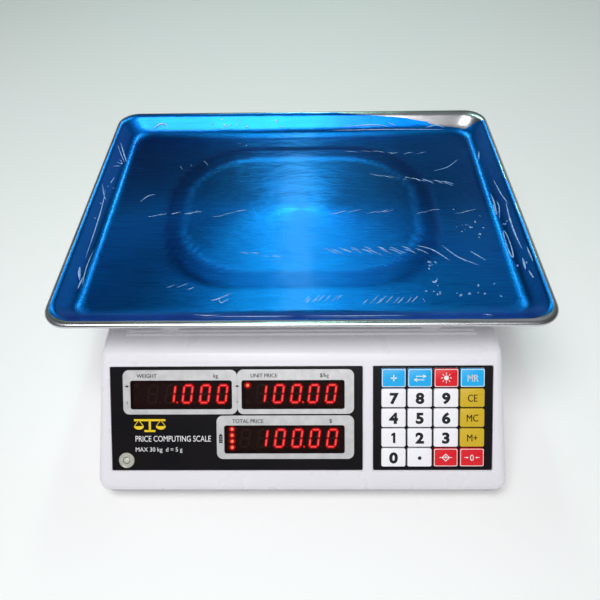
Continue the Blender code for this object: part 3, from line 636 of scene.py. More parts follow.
def shell_blank():
    """The outer skin of the top half, with its edges weighted for rounding and two low steps in its deck."""
    outline = ((SHELL_LOW.y, SEAM_Z), (LIP.y, LIP.z), (RIDGE.y, RIDGE.z), (REAR_TOP_Y, RIDGE.z),
               (SHELL_HIGH.y, SEAM_Z))
    shape = bmesh.new()
    side = shape.faces.new([shape.verts.new((0, y, z)) for y, z in outline])
    pushed = bmesh.ops.extrude_face_region(shape, geom=[side])["geom"]
    right_side = {part for part in pushed if isinstance(part, bmesh.types.BMVert)}
    for vert in shape.verts:
        vert.co.x = half_width_at(vert.co.z) * (1 if vert in right_side else -1)
    bmesh.ops.recalc_face_normals(shape, faces=shape.faces)
    bottom = min(shape.faces, key=lambda face: face.calc_center_median().z)
    bmesh.ops.delete(shape, geom=[bottom], context="FACES_ONLY")
    weights = shape.edges.layers.float.new("bevel_weight_edge")  # shares of the rounding's 8 mm
    for edge in shape.edges:
        middle = (edge.verts[0].co + edge.verts[1].co) / 2
        if edge.is_boundary:
            continue
        runs_across = abs(edge.verts[0].co.x - edge.verts[1].co.x) > 20 * MM
        if not runs_across:
            edge[weights] = 1 if middle.z < LIP.z or middle.y > REAR_TOP_Y else 0.75
        elif middle.y < 0 and middle.z > RIDGE.z - MM:
            edge[weights] = 0.16
        else:
            edge[weights] = 0.5
    deck = max(shape.faces, key=lambda face: face.calc_center_median().z)
    step_weight = 0.06
    for margin, rise in ((DECK_MARGIN, 0), mm(1.3, 1.3), mm(2.2, 0), mm(1.2, 1.2)):
        bmesh.ops.inset_region(shape, faces=[deck], thickness=margin, depth=rise)
        if margin == DECK_MARGIN:
            for vert in deck.verts:
                vert.co.y += 8 * MM if vert.co.y > 0 else 0
        for edge in deck.edges:
            edge[weights] = step_weight
    return shape


def top_shell():
    made = placed("top_shell", mesh_from("top_shell", shell_blank()))
    bevel = made.modifiers.new("round_edges", "BEVEL")
    bevel.width = 8 * MM
    bevel.segments = 7
    bevel.limit_method = "WEIGHT"
    wall = made.modifiers.new("wall", "SOLIDIFY")
    wall.thickness = 3 * MM
    wall.offset = -1
    wall.use_even_offset = True
    settle(made)
    deep, proud = mm(14, 4)
    pocket = LABEL_SHEET - LABEL_FACE + 0.3 * MM
    cutters = [panel_cutter(name, edges, -depth, proud, matrix) for name, edges, depth, matrix in (
        ("display_pocket", grown(DISPLAY_EDGES, 0.4 * MM), pocket, FRONT),
        ("keypad_pocket", grown(KEYPAD_EDGES, 0.4 * MM), pocket, FRONT),
        ("display_opening", mm(-126, 34, -66, -8), deep, FRONT),
        ("keypad_opening", grown(KEYPAD_EDGES, -3 * MM), deep, FRONT),
        ("rear_pocket", grown(REAR_EDGES, 0.4 * MM), pocket, REAR),
        ("rear_opening", mm(-127, 127, -12, 12), deep, REAR),
    )]
    for number, edges in enumerate((DISPLAY_EDGES, KEYPAD_EDGES)):
        left, right, low, high = grown(edges, 1.2 * MM)
        rim = (left, right, low, high + 1.9 * MM)
        cutters.append(groove(f"label_groove_{number}", rim, 0.5 * MM, 0.35 * MM, FRONT))
    cutters.append(groove("rear_groove", grown(REAR_EDGES, 2 * MM), 0.5 * MM, 0.35 * MM, REAR))
    for node, size in (("switch_bezel", mm(13.4, 19.4)), ("power_inlet", mm(27.8, 20.2))):
        edges = around(middle_of(node).y, size)
        cutters.append(panel_cutter(node + "_opening", edges, -deep, proud, SIDE))
    for number, (x, y) in enumerate(POSTS):
        hole = (f"post_hole_{number}", POST_HOLE, RIDGE.z - 11.3 * MM, COLLAR_TOP + 4 * MM)
        cutters.append(rod(*hole, x, y, 42))
    cutters.append(rod("level_hole", 6.2 * MM, -deep, proud, LEVEL_SPOT.x, LEVEL_SPOT.y, 32, FRONT))
    cut(made, cutters, folded=True)
    finish_piece(made, "base", "housing_white", ["top_housing"])


def post_collars():
    """A raised, filleted collar round each post's hole in the deck."""
    deck = RIDGE.z + 1.6 * MM
    shape = bmesh.new()
    bore, shoulder, foot = mm(9.6, 12.4, 17)
    rounding, fillet, fillet_rise = mm(1.4, 2.4, 1.2)
    profile = [(bore, deck - 2 * MM), (bore, COLLAR_TOP - 0.6 * MM), (10.2 * MM, COLLAR_TOP)]
    profile += [(shoulder + rounding * sin(angle), COLLAR_TOP - rounding * (1 - cos(angle)))
                for angle in quarter_turn(4)]
    profile += [(foot - fillet * cos(angle), deck + fillet_rise - fillet_rise * sin(angle))
                for angle in quarter_turn(4)]
    profile.append((foot, deck - 2 * MM))
    for x, y in POSTS:
        rings = [[(*spot, height) for spot in circle(x, y, radius, 48)] for radius, height in profile]
        loft(rings, shape, wrapped=True)
    finish_piece(object_from("post_collars", shape, 40), "base", "housing_white")


def bottom_tray():
    """The lower half's skin: rounded along its foot, with the battery's hatch, vents and screw wells cut in."""
    top = TRAY_HIGH.z if TRAY_HIGH.z < SEAM_Z else SEAM_Z - 0.3 * MM

    def ring(inset, z):
        return inset_ring((TRAY_LOW.x, TRAY_HIGH.x, TRAY_LOW.y, TRAY_HIGH.y), 9 * MM, inset, z, 10)

    foot = 2 * MM
    rings = [ring(foot * (1 - sin(angle)), BASE_Z + foot * (1 - cos(angle))) for angle in quarter_turn(5)]
    made = object_from("bottom_tray", loft([*rings, ring(0, top)]))
    hollow = object_from("tray_hollow", loft([ring(3 * MM, BASE_Z + 3 * MM), ring(3 * MM, top + 3 * MM)]))
    hatch_low, hatch_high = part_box("battery_cover")
    hatch = grown((hatch_low.x, hatch_high.x, hatch_low.y, hatch_high.y), 0.4 * MM)
    cutters = [hollow, panel_cutter("tray_hatch", hatch, BASE_Z - MM, BASE_Z + 5 * MM)]
    for number, x in enumerate(range(-40, 41, 10)):
        slot = around(x * MM, mm(3, 40))
        cutters.append(panel_cutter(f"vent_{number}", slot, BASE_Z - MM, BASE_Z + 1.2 * MM, radius=1.4 * MM))
    for number, (x, y) in enumerate(CASE_SCREWS):
        cutters.append(rod(f"screw_well_{number}", 4.2 * MM, BASE_Z - MM, BASE_Z + 2.2 * MM, x, y))
    cut(made, cutters)
    finish_piece(made, "base", "base_grey", ["bottom_housing"])


CASE_SCREWS = [mm(*spot) for spot in ((-100, -138), (100, -138), (-141, 0), (141, 0), (-20, 152), (100, 146))]


def pan_head(shape, centre, radius, top):
    """A pan-head screw, seen from below."""
    profile = ((radius, top), (radius, top - 0.6 * MM), (radius * 0.8, top - 1.2 * MM),
               (0.0001 * MM, top - 1.3 * MM))
    turned(profile, (*centre, 0), 20, shape)


def case_screws():
    shape = bmesh.new()
    for centre in CASE_SCREWS:
        pan_head(shape, centre, 3.2 * MM, BASE_Z + 2.4 * MM)
    finish_piece(object_from("case_screws", shape), "base", "steel_zinc")


def hatch_cover():
    """The battery's cover, with a hole for its screw and five finger ridges at its rear end."""
    low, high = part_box("battery_cover")
    shape = cushioned_plate((low.x, high.x, low.y, high.y), 1.2 * MM, 0, high.z - low.z, 0.5 * MM)
    turned_over = Matrix.Translation((0, low.y + high.y, high.z)) @ Matrix.Rotation(pi, 4, "X")
    cover = object_from("hatch_cover", shape, matrix=turned_over)
    screw = middle_of("battery_cover_screw")
    cut(cover, [rod("cover_hole", 3.4 * MM, 0, 20 * MM, screw.x, screw.y)])
    finish_piece(cover, "base", "base_grey", ["battery_cover"])
    ridges = bmesh.new()
    section = ((-0.9 * MM, low.z + 0.2 * MM), (0, low.z - 0.5 * MM), (0.9 * MM, low.z + 0.2 * MM))
    for step in range(5):
        y = high.y - (8 + 3 * step) * MM
        ends = (screw.x - 12 * MM, screw.x + 12 * MM)
        loft([[(x, y + across, z) for across, z in section] for x in ends], ridges)
    finish_piece(object_from("hatch_ridges", ridges), "base", "base_grey")


# ---- front panel ----

SEGMENTS_OF = {"0": "abcdef", "1": "bc", " ": "", "8": "abcdefg"}


def segment_outline(name, x, y):
    """One bar of a seven-segment digit, with pointed ends, leaning to the right."""
    half_w, half_h = DIGIT_WIDTH / 2 - SEGMENT / 2, DIGIT_HEIGHT / 2 - SEGMENT / 2
    nib, gap = SEGMENT / 2, 0.22 * MM
    levels = {"a": half_h, "g": 0, "d": -half_h}
    if name in levels:
        level = levels[name]
        start, end = -half_w + gap, half_w - gap
        points = [(start, level), (start + nib, level + nib), (end - nib, level + nib), (end, level),
                  (end - nib, level - nib), (start + nib, level - nib)]
    else:
        across = half_w if name in "bc" else -half_w
        start, end = (gap, half_h - gap) if name in "bf" else (gap - half_h, -gap)
        points = [(across, start), (across + nib, start + nib), (across + nib, end - nib), (across, end),
                  (across - nib, end - nib), (across - nib, start + nib)]
    return [(x + px + py * DIGIT_SLANT, y + py) for px, py in points]


def shrunk(outline, share):
    """The outline, drawn in towards its own middle."""
    middle_x = sum(x for x, _ in outline) / len(outline)
    middle_y = sum(y for _, y in outline) / len(outline)
    longest_x = max(abs(x - middle_x) for x, _ in outline)
    longest_y = max(abs(y - middle_y) for _, y in outline)
    inset = SEGMENT * share
    scale_x, scale_y = 1 - inset / max(longest_x, inset * 2), 1 - inset / max(longest_y, inset * 2)
    return [(middle_x + (x - middle_x) * scale_x, middle_y + (y - middle_y) * scale_y) for x, y in outline]


def digits(name, reading, last_x, y, matrix, dots=()):
    """A row of digits that ends at last_x. A point in the reading lights the dot after the digit before it."""
    lit = Print(name + "_lit", LED_FACE + 0.05 * MM)
    core = Print(name + "_core", LED_FACE + 0.12 * MM)
    unlit = Print(name + "_unlit", LED_FACE + 0.02 * MM)
    # the halo is a painted glow round the lit segments and dots
    halo = Print(name + "_halo", LED_FACE + 0.01 * MM, 0.02 * MM)
    cells = []
    for sign in reading:
        if sign == ".":
            cells[-1] += sign
        else:
            cells.append(sign)
    for place, cell in enumerate(cells):
        x = last_x - (len(cells) - 1 - place) * DIGIT_PITCH
        for segment in "abcdefg":
            outline = segment_outline(segment, x, y)
            if segment in SEGMENTS_OF[cell[0]]:
                lit.area(outline)
                core.area(shrunk(outline, 0.30))
                halo.area(shrunk(outline, -0.45))
            else:
                unlit.area(outline)
        point = circle(x + DIGIT_WIDTH / 2 + 1.1 * MM, y - DIGIT_HEIGHT / 2 + 0.9 * MM, 0.85 * MM, 16)
        (lit if len(cell) > 1 else unlit).area(point)
    lamps = Print(name + "_lamps", LED_FACE + 0.12 * MM)
    for dot_x, dot_y, is_lit in dots:
        (lit if is_lit else unlit).area(circle(dot_x, dot_y, 1.6 * MM, 20))
        if is_lit:
            lamps.area(circle(dot_x, dot_y, 1.0 * MM, 16))
            halo.area(circle(dot_x, dot_y, 2.6 * MM, 20))
    for part, paint in ((lit, LIT), (core, LIT_CORE), (halo, HALO), (lamps, DOT_LIT), (unlit, UNLIT)):
        if part.shape.verts:
            part.piece(paint, matrix)


def silver_frames():
    """The silver frames printed on the display label, each with its window left out of it."""
    prints = Print("silver_frames")
    gap = 0.5 * MM
    for edges, window in WINDOWS:
        prints.area(rounded(*edges, FRAME_CORNER), rounded(*grown(window, gap), WINDOW_CORNER + gap))
    prints.piece(SILVER_INK)


def captions():
    dark = Print("captions_dark", LABEL_FACE + INK)
    size = 2.9 * MM
    for words, x, down in (
        ("WEIGHT", -111.5, 6.5), ("kg", -61.5, 6.4), ("UNIT PRICE", -26.5, 6.4), ("$/kg", 17, 6.3),
        ("TOTAL PRICE", -38.5, 39.8), ("$", 21.5, 39.7),
    ):
        dark.text(words, x * MM, -down * MM, size, narrow=0.95, struck=0.10 * MM)
    for x in (-126, -46):
        dark.bar(mm(x - 1.7, -14.2), mm(x + 1.7, -14.2), 0.35 * MM)
        dark.area(circle(x * MM, -14.2 * MM, 0.8 * MM, 16))
    for x, down in ((-126, 26.4), (-46, 26.2)):
        dark.text("T", x * MM, -down * MM, 2.0 * MM)
    battery_x, battery_y = mm(-58.4, -53)
    for half, low, high, radius, steps in ((*mm(1.3, -3, 3, 0.3), 3), (*mm(0.6, 3.1, 3.8, 0.1), 2)):
        dark.area(rounded(battery_x - half, battery_x + half, battery_y + low, battery_y + high, radius, steps))
    dark.piece(DARK_INK)
    white = Print("captions_white")
    white.text("PRICE COMPUTING SCALE", -121 * MM, -52.6 * MM, 4.5 * MM, "LEFT", 0.0, 0.76)
    white.text("MAX 30 kg  d = 5 g", -121 * MM, -60.6 * MM, 3.3 * MM, "LEFT", 0.0, 0.95)
    white.piece(WHITE_INK)
    bars = Print("battery_bars", LABEL_FACE + 2 * INK)
    for level in mm(-1.8, -0.6, 0.6, 1.8):
        y = battery_y + level
        bars.bar((battery_x - 0.9 * MM, y), (battery_x + 0.9 * MM, y), 0.25 * MM)
    bars.piece(SILVER_INK)
    balance_mark()


def balance_mark():
    """A plain pictogram of a two-pan balance, in yellow."""
    mark = Print("balance_mark")
    x, y = mm(-110, -43)
    wide, tall = mm(11.5, 4)
    mark.bar((x - wide, y + tall), (x + wide, y + tall), 1.5 * MM)
    mark.bar((x, y + tall), (x, y - tall), 1.6 * MM)
    mark.bar((x - 4 * MM, y - tall), (x + 4 * MM, y - tall), 1.5 * MM)
    brim = y - 0.4 * MM
    for side in (-1, 1):
        middle = x + side * 8 * MM
        mark.area([(middle + 3.6 * MM * cos(turn), brim + 2.6 * MM * sin(turn))
                   for turn in (pi * (1 + step / 10) for step in range(11))])
        for end in mm(-3.3, 3.3):
            mark.bar((middle + end, brim), (middle, y + tall), 0.5 * MM)
    mark.piece(YELLOW_INK)


def level_vial():
    """The bubble level: a cup of pale liquid with a clear glossy face, with its ring and its bubble."""
    radius = (LEVEL_HIGH.x - LEVEL_LOW.x) / 2
    matrix = FRONT @ Matrix.Translation((LEVEL_SPOT.x, LEVEL_SPOT.y, 0))
    cup = turned(((radius, -9 * MM), (radius, -0.5 * MM), (radius - 0.5 * MM, -0.1 * MM),
                  (radius - 1.0 * MM, -0.4 * MM), (0, -0.35 * MM)), steps=48)
    finish_piece(object_from("level_cup", cup, 30), "base", "level_clear", ["level_vial"], matrix)
    ring = Print("level_ring", -0.36 * MM, 0.06 * MM)
    ring.area(circle(0, 0, 2.6 * MM), circle(0, 0, 2.2 * MM))
    ring.piece(DARK_INK, matrix)
    dome = turned(((1.7 * MM, -0.36 * MM), (1.5 * MM, -0.12 * MM), (0.9 * MM, 0.0), (0, 0.04 * MM)), steps=32)
    off_middle = Matrix.Translation(mm(0.6, 0.5, 0))
    finish_piece(object_from("level_bubble", dome, 60), "base", matrix=matrix @ off_middle, paint=BUBBLE)


# ---- keys ----

KEYS = (
    (("key_plus", "+"), ("key_change", "arrows"), ("key_backlight", "sun"), ("key_memory_recall", "MR")),
    (("key_7", "7"), ("key_8", "8"), ("key_9", "9"), ("key_clear", "CE")),
    (("key_4", "4"), ("key_5", "5"), ("key_6", "6"), ("key_memory_clear", "MC")),
    (("key_1", "1"), ("key_2", "2"), ("key_3", "3"), ("key_memory_add", "M+")),
    (("key_0", "0"), ("key_point", "."), ("key_tare", "tare"), ("key_zero_set", "zero")),
)
SLOT_OF = {entry["node"]: entry["material_slot"] for entry in RECORD["subparts"]}


def key_legend(legend, prints):
    """Draws a key's legend about the middle of its cap."""
    if legend == "1":
        prints.area([mm(1.25, -3.8), mm(1.25, 3.8), mm(-0.2, 3.8), mm(-1.7, 2.7), mm(-1.7, 1.3), mm(-0.5, 1.75),
                     mm(-0.5, -3.8)])
    elif legend.isdigit():
        prints.text(legend, 0, 0, 7.6 * MM, bold=0.05, narrow=1.12)
    elif legend == "+":
        prints.bar(mm(-2.2, 0), mm(2.2, 0), 0.75 * MM)
        prints.bar(mm(0, -2.2), mm(0, 2.2), 0.75 * MM)
    elif legend == ".":
        prints.area(circle(0, -0.4 * MM, 1.35 * MM, 24))
    elif legend == "arrows":
        for side in (-1, 1):
            y = side * 1.3 * MM
            prints.bar((-3 * MM, y), (3 * MM, y), 0.6 * MM)
            neck, half = side * 2.2 * MM, 1.4 * MM
            prints.area([(side * 4.6 * MM, y), (neck, y + half), (neck, y - half)])
    elif legend == "sun":
        prints.area(circle(0, 0, 1.7 * MM, 24))
        for step in range(8):
            turn = pi * step / 4
            along = Vector((cos(turn), sin(turn)))
            prints.bar(along * 2.4 * MM, along * 3.8 * MM, 0.5 * MM)
    elif legend == "tare":
        prints.bar(mm(-4.6, 0), mm(4.6, 0), 0.45 * MM)
        prints.area([mm(0, 2.9), mm(-3.1, 0), mm(0, -2.9), mm(3.1, 0)],
                    [mm(0, 2.1), mm(2.3, 0), mm(0, -2.1), mm(-2.3, 0)])
        prints.text("T", 0, 0, 2.2 * MM)
    elif legend == "zero":
        prints.text("0", 0, 0, 4.6 * MM)
        for side in (-1, 1):
            prints.bar(mm(side * 5.6, 0), mm(side * 3.4, 0), 0.45 * MM)
            prints.area([mm(side * 2.5, 0), mm(side * 3.7, 0.9), mm(side * 3.7, -0.9)])
    else:
        prints.text(legend, 0, 0, 5.4 * MM, narrow=0.80, struck=0.14 * MM)


def keys():
    """Each key's cap with its printed legend, and a white outline on the blue and the red ones."""
    for row in KEYS:
        for node, legend in row:
            spot = FRONT.inverted() @ middle_of(node)
            place = FRONT @ Matrix.Translation((spot.x, spot.y, 0))
            body = node + "_body"
            slot = SLOT_OF[node]
            half_x, half_y = KEY_WIDTH / 2, KEY_HEIGHT / 2
            cap = cushioned_plate((-half_x, half_x, -half_y, half_y), 1.3 * MM, KEY_BOTTOM, KEY_TOP, 0.55 * MM,
                                  steps=5)
            finish_piece(object_from(node + "_cap", cap, 50), body, slot, [node], place)
            on_light = slot in ("key_white", "key_yellow")
            prints = Print(node + "_legend", KEY_TOP)
            key_legend(legend, prints)
            if not on_light:
                edge, line = mm(0.35, 0.42)
                outlines = [rounded(inset - half_x, half_x - inset, inset - half_y, half_y - inset, 1 * MM, 5)
                            for inset in (edge, edge + line)]
                prints.area(*outlines)
            prints.piece(DARK_INK if on_light else WHITE_INK, place, body)


# ---- pan and film ----

# The tray's section from the middle out: half widths, corner radius, drop below the rim.
TRAY_SECTION = (
    (0.1560, 0.1080, 0.0120, 0.0130),
    (0.1590, 0.1110, 0.0128, 0.0127), (0.1625, 0.1147, 0.0140, 0.0117), (0.1665, 0.1190, 0.0150, 0.0092),
    (0.1715, 0.1253, 0.0160, 0.0036), (0.1738, 0.1282, 0.0165, 0.0012), (0.1763, 0.1312, 0.0170, 0.0001),
    (0.1776, 0.1326, 0.0174, 0.0002), (0.1786, 0.1336, 0.0178, 0.0008), (0.1790, 0.1340, 0.0180, 0.0018),
    (0.1788, 0.1338, 0.0180, 0.0030), (0.1780, 0.1330, 0.0176, 0.0038),
)
TRAY_HALF_X, TRAY_HALF_Y = 0.179, 0.134
SHEET = 0.6 * MM
FLOOR_DROP = 0.0130
RING_INNER = (0.0990, 0.0720, 0.0600)
RING_OUTER = (0.1120, 0.0890, 0.0660)
BAND_RISE = 0.45 * MM


def clamped(value):
    return min(max(value, 0), 1)


def emboss(x, y):
    """The height pressed into the floor: a low raised band of racetrack shape."""
    def beyond(ring):
        half_x, half_y, radius = ring
        dx, dy = max(abs(x) - half_x + radius, 0), max(abs(y) - half_y + radius, 0)
        return hypot(dx, dy) - radius

    slope = 1.6 * MM
    rise, fall = beyond(RING_INNER) / slope + 0.5, 0.5 - beyond(RING_OUTER) / slope
    return BAND_RISE * min(clamped(rise), clamped(fall))


def smooth_between(points, steps):
    """A Catmull-Rom curve through tuples of numbers."""
    result = []
    for place in range(len(points) - 1):
        before = points[max(place - 1, 0)]
        here, there = points[place], points[place + 1]
        after = points[min(place + 2, len(points) - 1)]
        for step in range(steps):
            t = step / steps
            row = []
            for a, b, c, d in zip(before, here, there, after):
                row.append(0.5 * (2 * b + (c - a) * t + (2 * a - 5 * b + 4 * c - d) * t * t
                                  + (3 * b - a - 3 * c + d) * t * t * t))
            result.append(tuple(row))
    result.append(points[-1])
    return result


def tray_rings():
    """The tray's rings from its middle out: half widths, corner radius, drop below the rim."""
    half_x, half_y, radius, _ = TRAY_SECTION[0]
    shares = [(step + 0.5) / FLOOR_RINGS for step in range(FLOOR_RINGS)]
    floor = [(half_x * share, half_y * share, radius * share ** 1.5, FLOOR_DROP) for share in shares]
    return floor + smooth_between(TRAY_SECTION, 3)


def tray_skin(name, rings, slot, node, thickness, place_on, smooth_angle, layers=None):
    """A sheet of that thickness, laid ring by ring over the tray's shape."""
    rows = [[place_on(number, ring, turn / FILM_TURNS) for turn in range(FILM_TURNS)]
            for number, ring in enumerate(rings)]
    shape = loft(rows, caps=(0,))
    if layers:
        layers(shape)
    made = object_from(name, shape, smooth_angle)
    sheet = made.modifiers.new("sheet", "SOLIDIFY")
    sheet.thickness = thickness
    sheet.offset = -1 if made.data.polygons[0].normal.z > 0 else 1
    settle(made, smooth_angle)
    finish_piece(made, "pan", slot, [node])


def on_tray(half_x, half_y, radius, drop, share):
    """A point at a share of the way round one of the tray's rings, with the floor's embossing."""
    spot = ring_point(half_x, half_y, radius, share)
    stamp = emboss(spot.x, spot.y) if drop > FLOOR_DROP - 0.1 * MM else 0
    return spot, RIM_Z - drop, stamp


def pan_tray():
    """The stainless tray: a flat embossed floor, sloping walls and a rim rolled outwards."""
    def steel(_, ring, share):
        spot, z, stamp = on_tray(*ring, share)
        return PAN_CENTRE.x + spot.x, PAN_CENTRE.y + spot.y, z + stamp

    tray_skin("pan_tray", tray_rings(), "steel_stainless", "weighing_pan", SHEET, steel, 40)


FILM_TURNS = 420
FLOOR_RINGS = 40
FILM_LIFT = 0.25 * MM


def ring_point(half_x, half_y, radius, share):
    """A point at a share of the way round a rounded rectangle, measured by direction from its middle."""
    turn = 2 * pi * share
    along = Vector((cos(turn) * TRAY_HALF_X, sin(turn) * TRAY_HALF_Y))
    reach_x = half_x / abs(along.x) if abs(along.x) > 1e-9 else 1e9
    reach_y = half_y / abs(along.y) if abs(along.y) > 1e-9 else 1e9
    hit = along * min(reach_x, reach_y)
    corner = Vector((copysign(half_x - radius, hit.x), copysign(half_y - radius, hit.y)))
    if abs(hit.x) > abs(corner.x) and abs(hit.y) > abs(corner.y):
        facing = along.normalized()
        along_corner = corner.dot(facing)
        across = corner.length_squared - along_corner * along_corner
        hit = facing * (along_corner + sqrt(max(radius * radius - across, 0)))
    return hit


def film_height(x, y, drop):
    """Waves and small lifts in the film where it isn't quite stuck down."""
    spot = Vector((x, y, drop))
    lift = 0.10 * MM * max(noise.noise(spot * 26), 0)
    lift += 0.16 * MM * max(noise.noise(Vector((x * 60, y * 22, 3))) - 0.25, 0)
    return lift


def film_layers(shape):
    """The film's brushing runs along X, and its band layer says where the floor is pressed up: the film's paint
    uses it for a painted shade on the band.
    """
    uv = shape.loops.layers.uv.new("UVMap")
    for face in shape.faces:
        for corner in face.loops:
            corner[uv].uv = (corner.vert.co.y, corner.vert.co.x)
    band = shape.verts.layers.float.new("band")
    for vert in shape.verts:
        vert[band] = emboss(vert.co.x - PAN_CENTRE.x, vert.co.y - PAN_CENTRE.y) / BAND_RISE


def protective_film():
    """The blue film: it follows the tray, ends in an uneven edge on the rim and has fallen short at places."""
    section = tray_rings()[:FLOOR_RINGS] + smooth_between(TRAY_SECTION[:7], 4)

    def film(number, values, share):
        if number > FLOOR_RINGS:
            # The film's last rings are drawn in where it ends short of the rim.
            place = FLOOR_RINGS + (number - FLOOR_RINGS) * edge_reach(share)
            low = min(int(place), len(section) - 2)
            mix = place - low
            values = tuple(a + (b - a) * mix for a, b in zip(section[low], section[low + 1]))
        spot, z, stamp = on_tray(*values, share)
        z = z + FILM_LIFT + stamp + film_height(spot.x, spot.y, values[3])
        return PAN_CENTRE.x + spot.x, PAN_CENTRE.y + spot.y, z

    tray_skin("blue_film", section, "film_blue", "protective_film", 0.1 * MM, film, 60, film_layers)


def edge_reach(share):
    """How far the film reaches along the wall and rim, by direction: 1 is its full reach."""
    blend = 0.008  # of a turn
    turn = 2 * pi * share
    x, y = cos(turn), sin(turn)
    reach = 0.985 - 0.05 * abs(noise.noise(Vector((x * 5, y * 5, 4))))
    reach -= 0.03 * abs(noise.noise(Vector((x * 30, y * 30, 1))))
    for start, stop, at_start, at_stop in FILM_SHORT:
        inside = clamped((share - start) / blend) * clamped((stop - share) / blend)
        along = clamped((share - start) / (stop - start))
        reach -= (at_start + (at_stop - at_start) * along) * inside
    return reach


# Where the film has fallen short: from and to, as shares of a turn from the right, and by how much at each end.
FILM_SHORT = ((0.114, 0.222, 0.56, 0.02), (0.965, 0.998, 0.04, 0.04), (0.02, 0.10, 0.05, 0.02),
              (0.62, 0.88, 0.10, 0.12))


def wall_place(side, along, up):
    """A place on the tray's wall, with the wall's inward direction there."""
    foot, head = TRAY_SECTION[2], TRAY_SECTION[5]
    half_x, half_y, _, drop = (a + (b - a) * up for a, b in zip(foot, head))
    sign = 1 if side in ("right", "rear") else -1
    spread = head[0] - foot[0] if side in ("right", "left") else head[1] - foot[1]
    rise = foot[3] - head[3]
    if side in ("right", "left"):
        x, y, out = sign * half_x, along, Vector((sign, 0, 0))
    else:
        x, y, out = along, sign * half_y, Vector((0, sign, 0))
    inward = (Vector((0, 0, spread)) - out * rise).normalized()
    return Vector((PAN_CENTRE.x + x, PAN_CENTRE.y + y, RIM_Z - drop)) + inward * FILM_LIFT, inward


def crease(shape, points, width, height, normal=Vector((0, 0, 1)), ends=0.12):
    """A narrow ridge of lifted film along a few points, tapering at both ends."""
    along = smooth_between(points, 6)
    rings = []
    for place, point in enumerate(along):
        here = Vector(point)
        before, after = Vector(along[max(place - 1, 0)]), Vector(along[min(place + 1, len(along) - 1)])
        side = (after - before).normalized().cross(normal).normalized()
        taper = ends + (1 - ends) * sin(pi * place / (len(along) - 1))
        ring = []
        for step in range(7):
            turn = pi * step / 6
            ring.append(here + side * cos(turn) * width / 2 * taper
                        + normal * (sin(turn) * height * taper - 0.05 * MM))
        rings.append(ring)
    loft(rings, shape)


def bubble(shape, centre, radius_x, radius_y, height, turn=0.0, normal=Vector((0, 0, 1))):
    """A low blister in the film."""
    across = normal.orthogonal().normalized() if abs(normal.z) < 0.99 else Vector((1, 0, 0))
    along = normal.cross(across)
    across, along = across * cos(turn) + along * sin(turn), along * cos(turn) - across * sin(turn)
    rings = []
    for level in range(5):
        angle = pi / 2 * level / 4.3
        ring = []
        for bearing in turns(14):
            ring.append(centre + across * radius_x * cos(bearing) * cos(angle)
                        + along * radius_y * sin(bearing) * cos(angle)
                        + normal * (height * sin(angle) - 0.05 * MM))
        rings.append(ring)
    loft(rings, shape)


def on_floor(x, y):
    """A place on the film over the tray's floor, in the tray's own x and y."""
    return Vector((PAN_CENTRE.x + x, PAN_CENTRE.y + y, RIM_Z - FLOOR_DROP + FILM_LIFT + emboss(x, y)))


# Rows of short creases on the floor, in millimetres from the tray's middle:
# the first stroke's start, the last stroke's start, how many, and one stroke's own run.
FLOOR_ROWS = (
    ((-130, -7), (-94, -4), 5, (13, 4)), ((-75, -8), (-58, -3), 3, (13, 4)), ((23, -6), (38, -4), 3, (12, 4)),
    ((54, -7), (70, -4), 3, (12, 4)), ((97, -7), (105, -5), 2, (12, 3)), ((129, -7), (137, -4), 2, (12, 3)),
    ((62, 49), (124, 38), 9, (12, -5)), ((100, 42), (128, 36), 4, (9, -6)),
    ((17, -47), (90, -49), 11, (11, -7)), ((30, -45), (80, -46), 6, (8, -5)),
    ((1, -104), (26, -102), 7, (6, 7)), ((46, -106), (80, -104), 9, (7, 8)),
    ((-50, -51), (-22, -55), 4, (9, -2)), ((-100, -88), (-84, -90), 3, (7, 4)),
    ((-112, 64), (-92, 70), 3, (5, -8)), ((40, 84), (80, 82), 4, (12, -2)), ((84, 78), (108, 80), 3, (9, 3)),
)
LONG_CREASES = (
    ((92, -45), (104, -50), (116, -62)), ((112, -44), (123, -58), (138, -67)), ((133, -51), (144, -62)),
    ((-66, -101), (-60, -99), (-50, -93)), ((-60, -99), (-58, -103), (-52, -99)),
    ((-140, 12), (-134, 20), (-128, 22)), ((120, 52), (134, 58), (146, 70)),
)
BUBBLE_PATCHES = (
    # the patch's corners, how many, and their largest radius
    ((132, -38), (150, -8), 9, 1.5), ((98, -98), (108, -60), 12, 1.3), ((112, -100), (148, -86), 8, 1.5),
    ((86, -104), (104, -92), 6, 1.1), ((120, -30), (140, 0), 5, 0.9), ((-60, 92), (-30, 104), 3, 1.2),
)
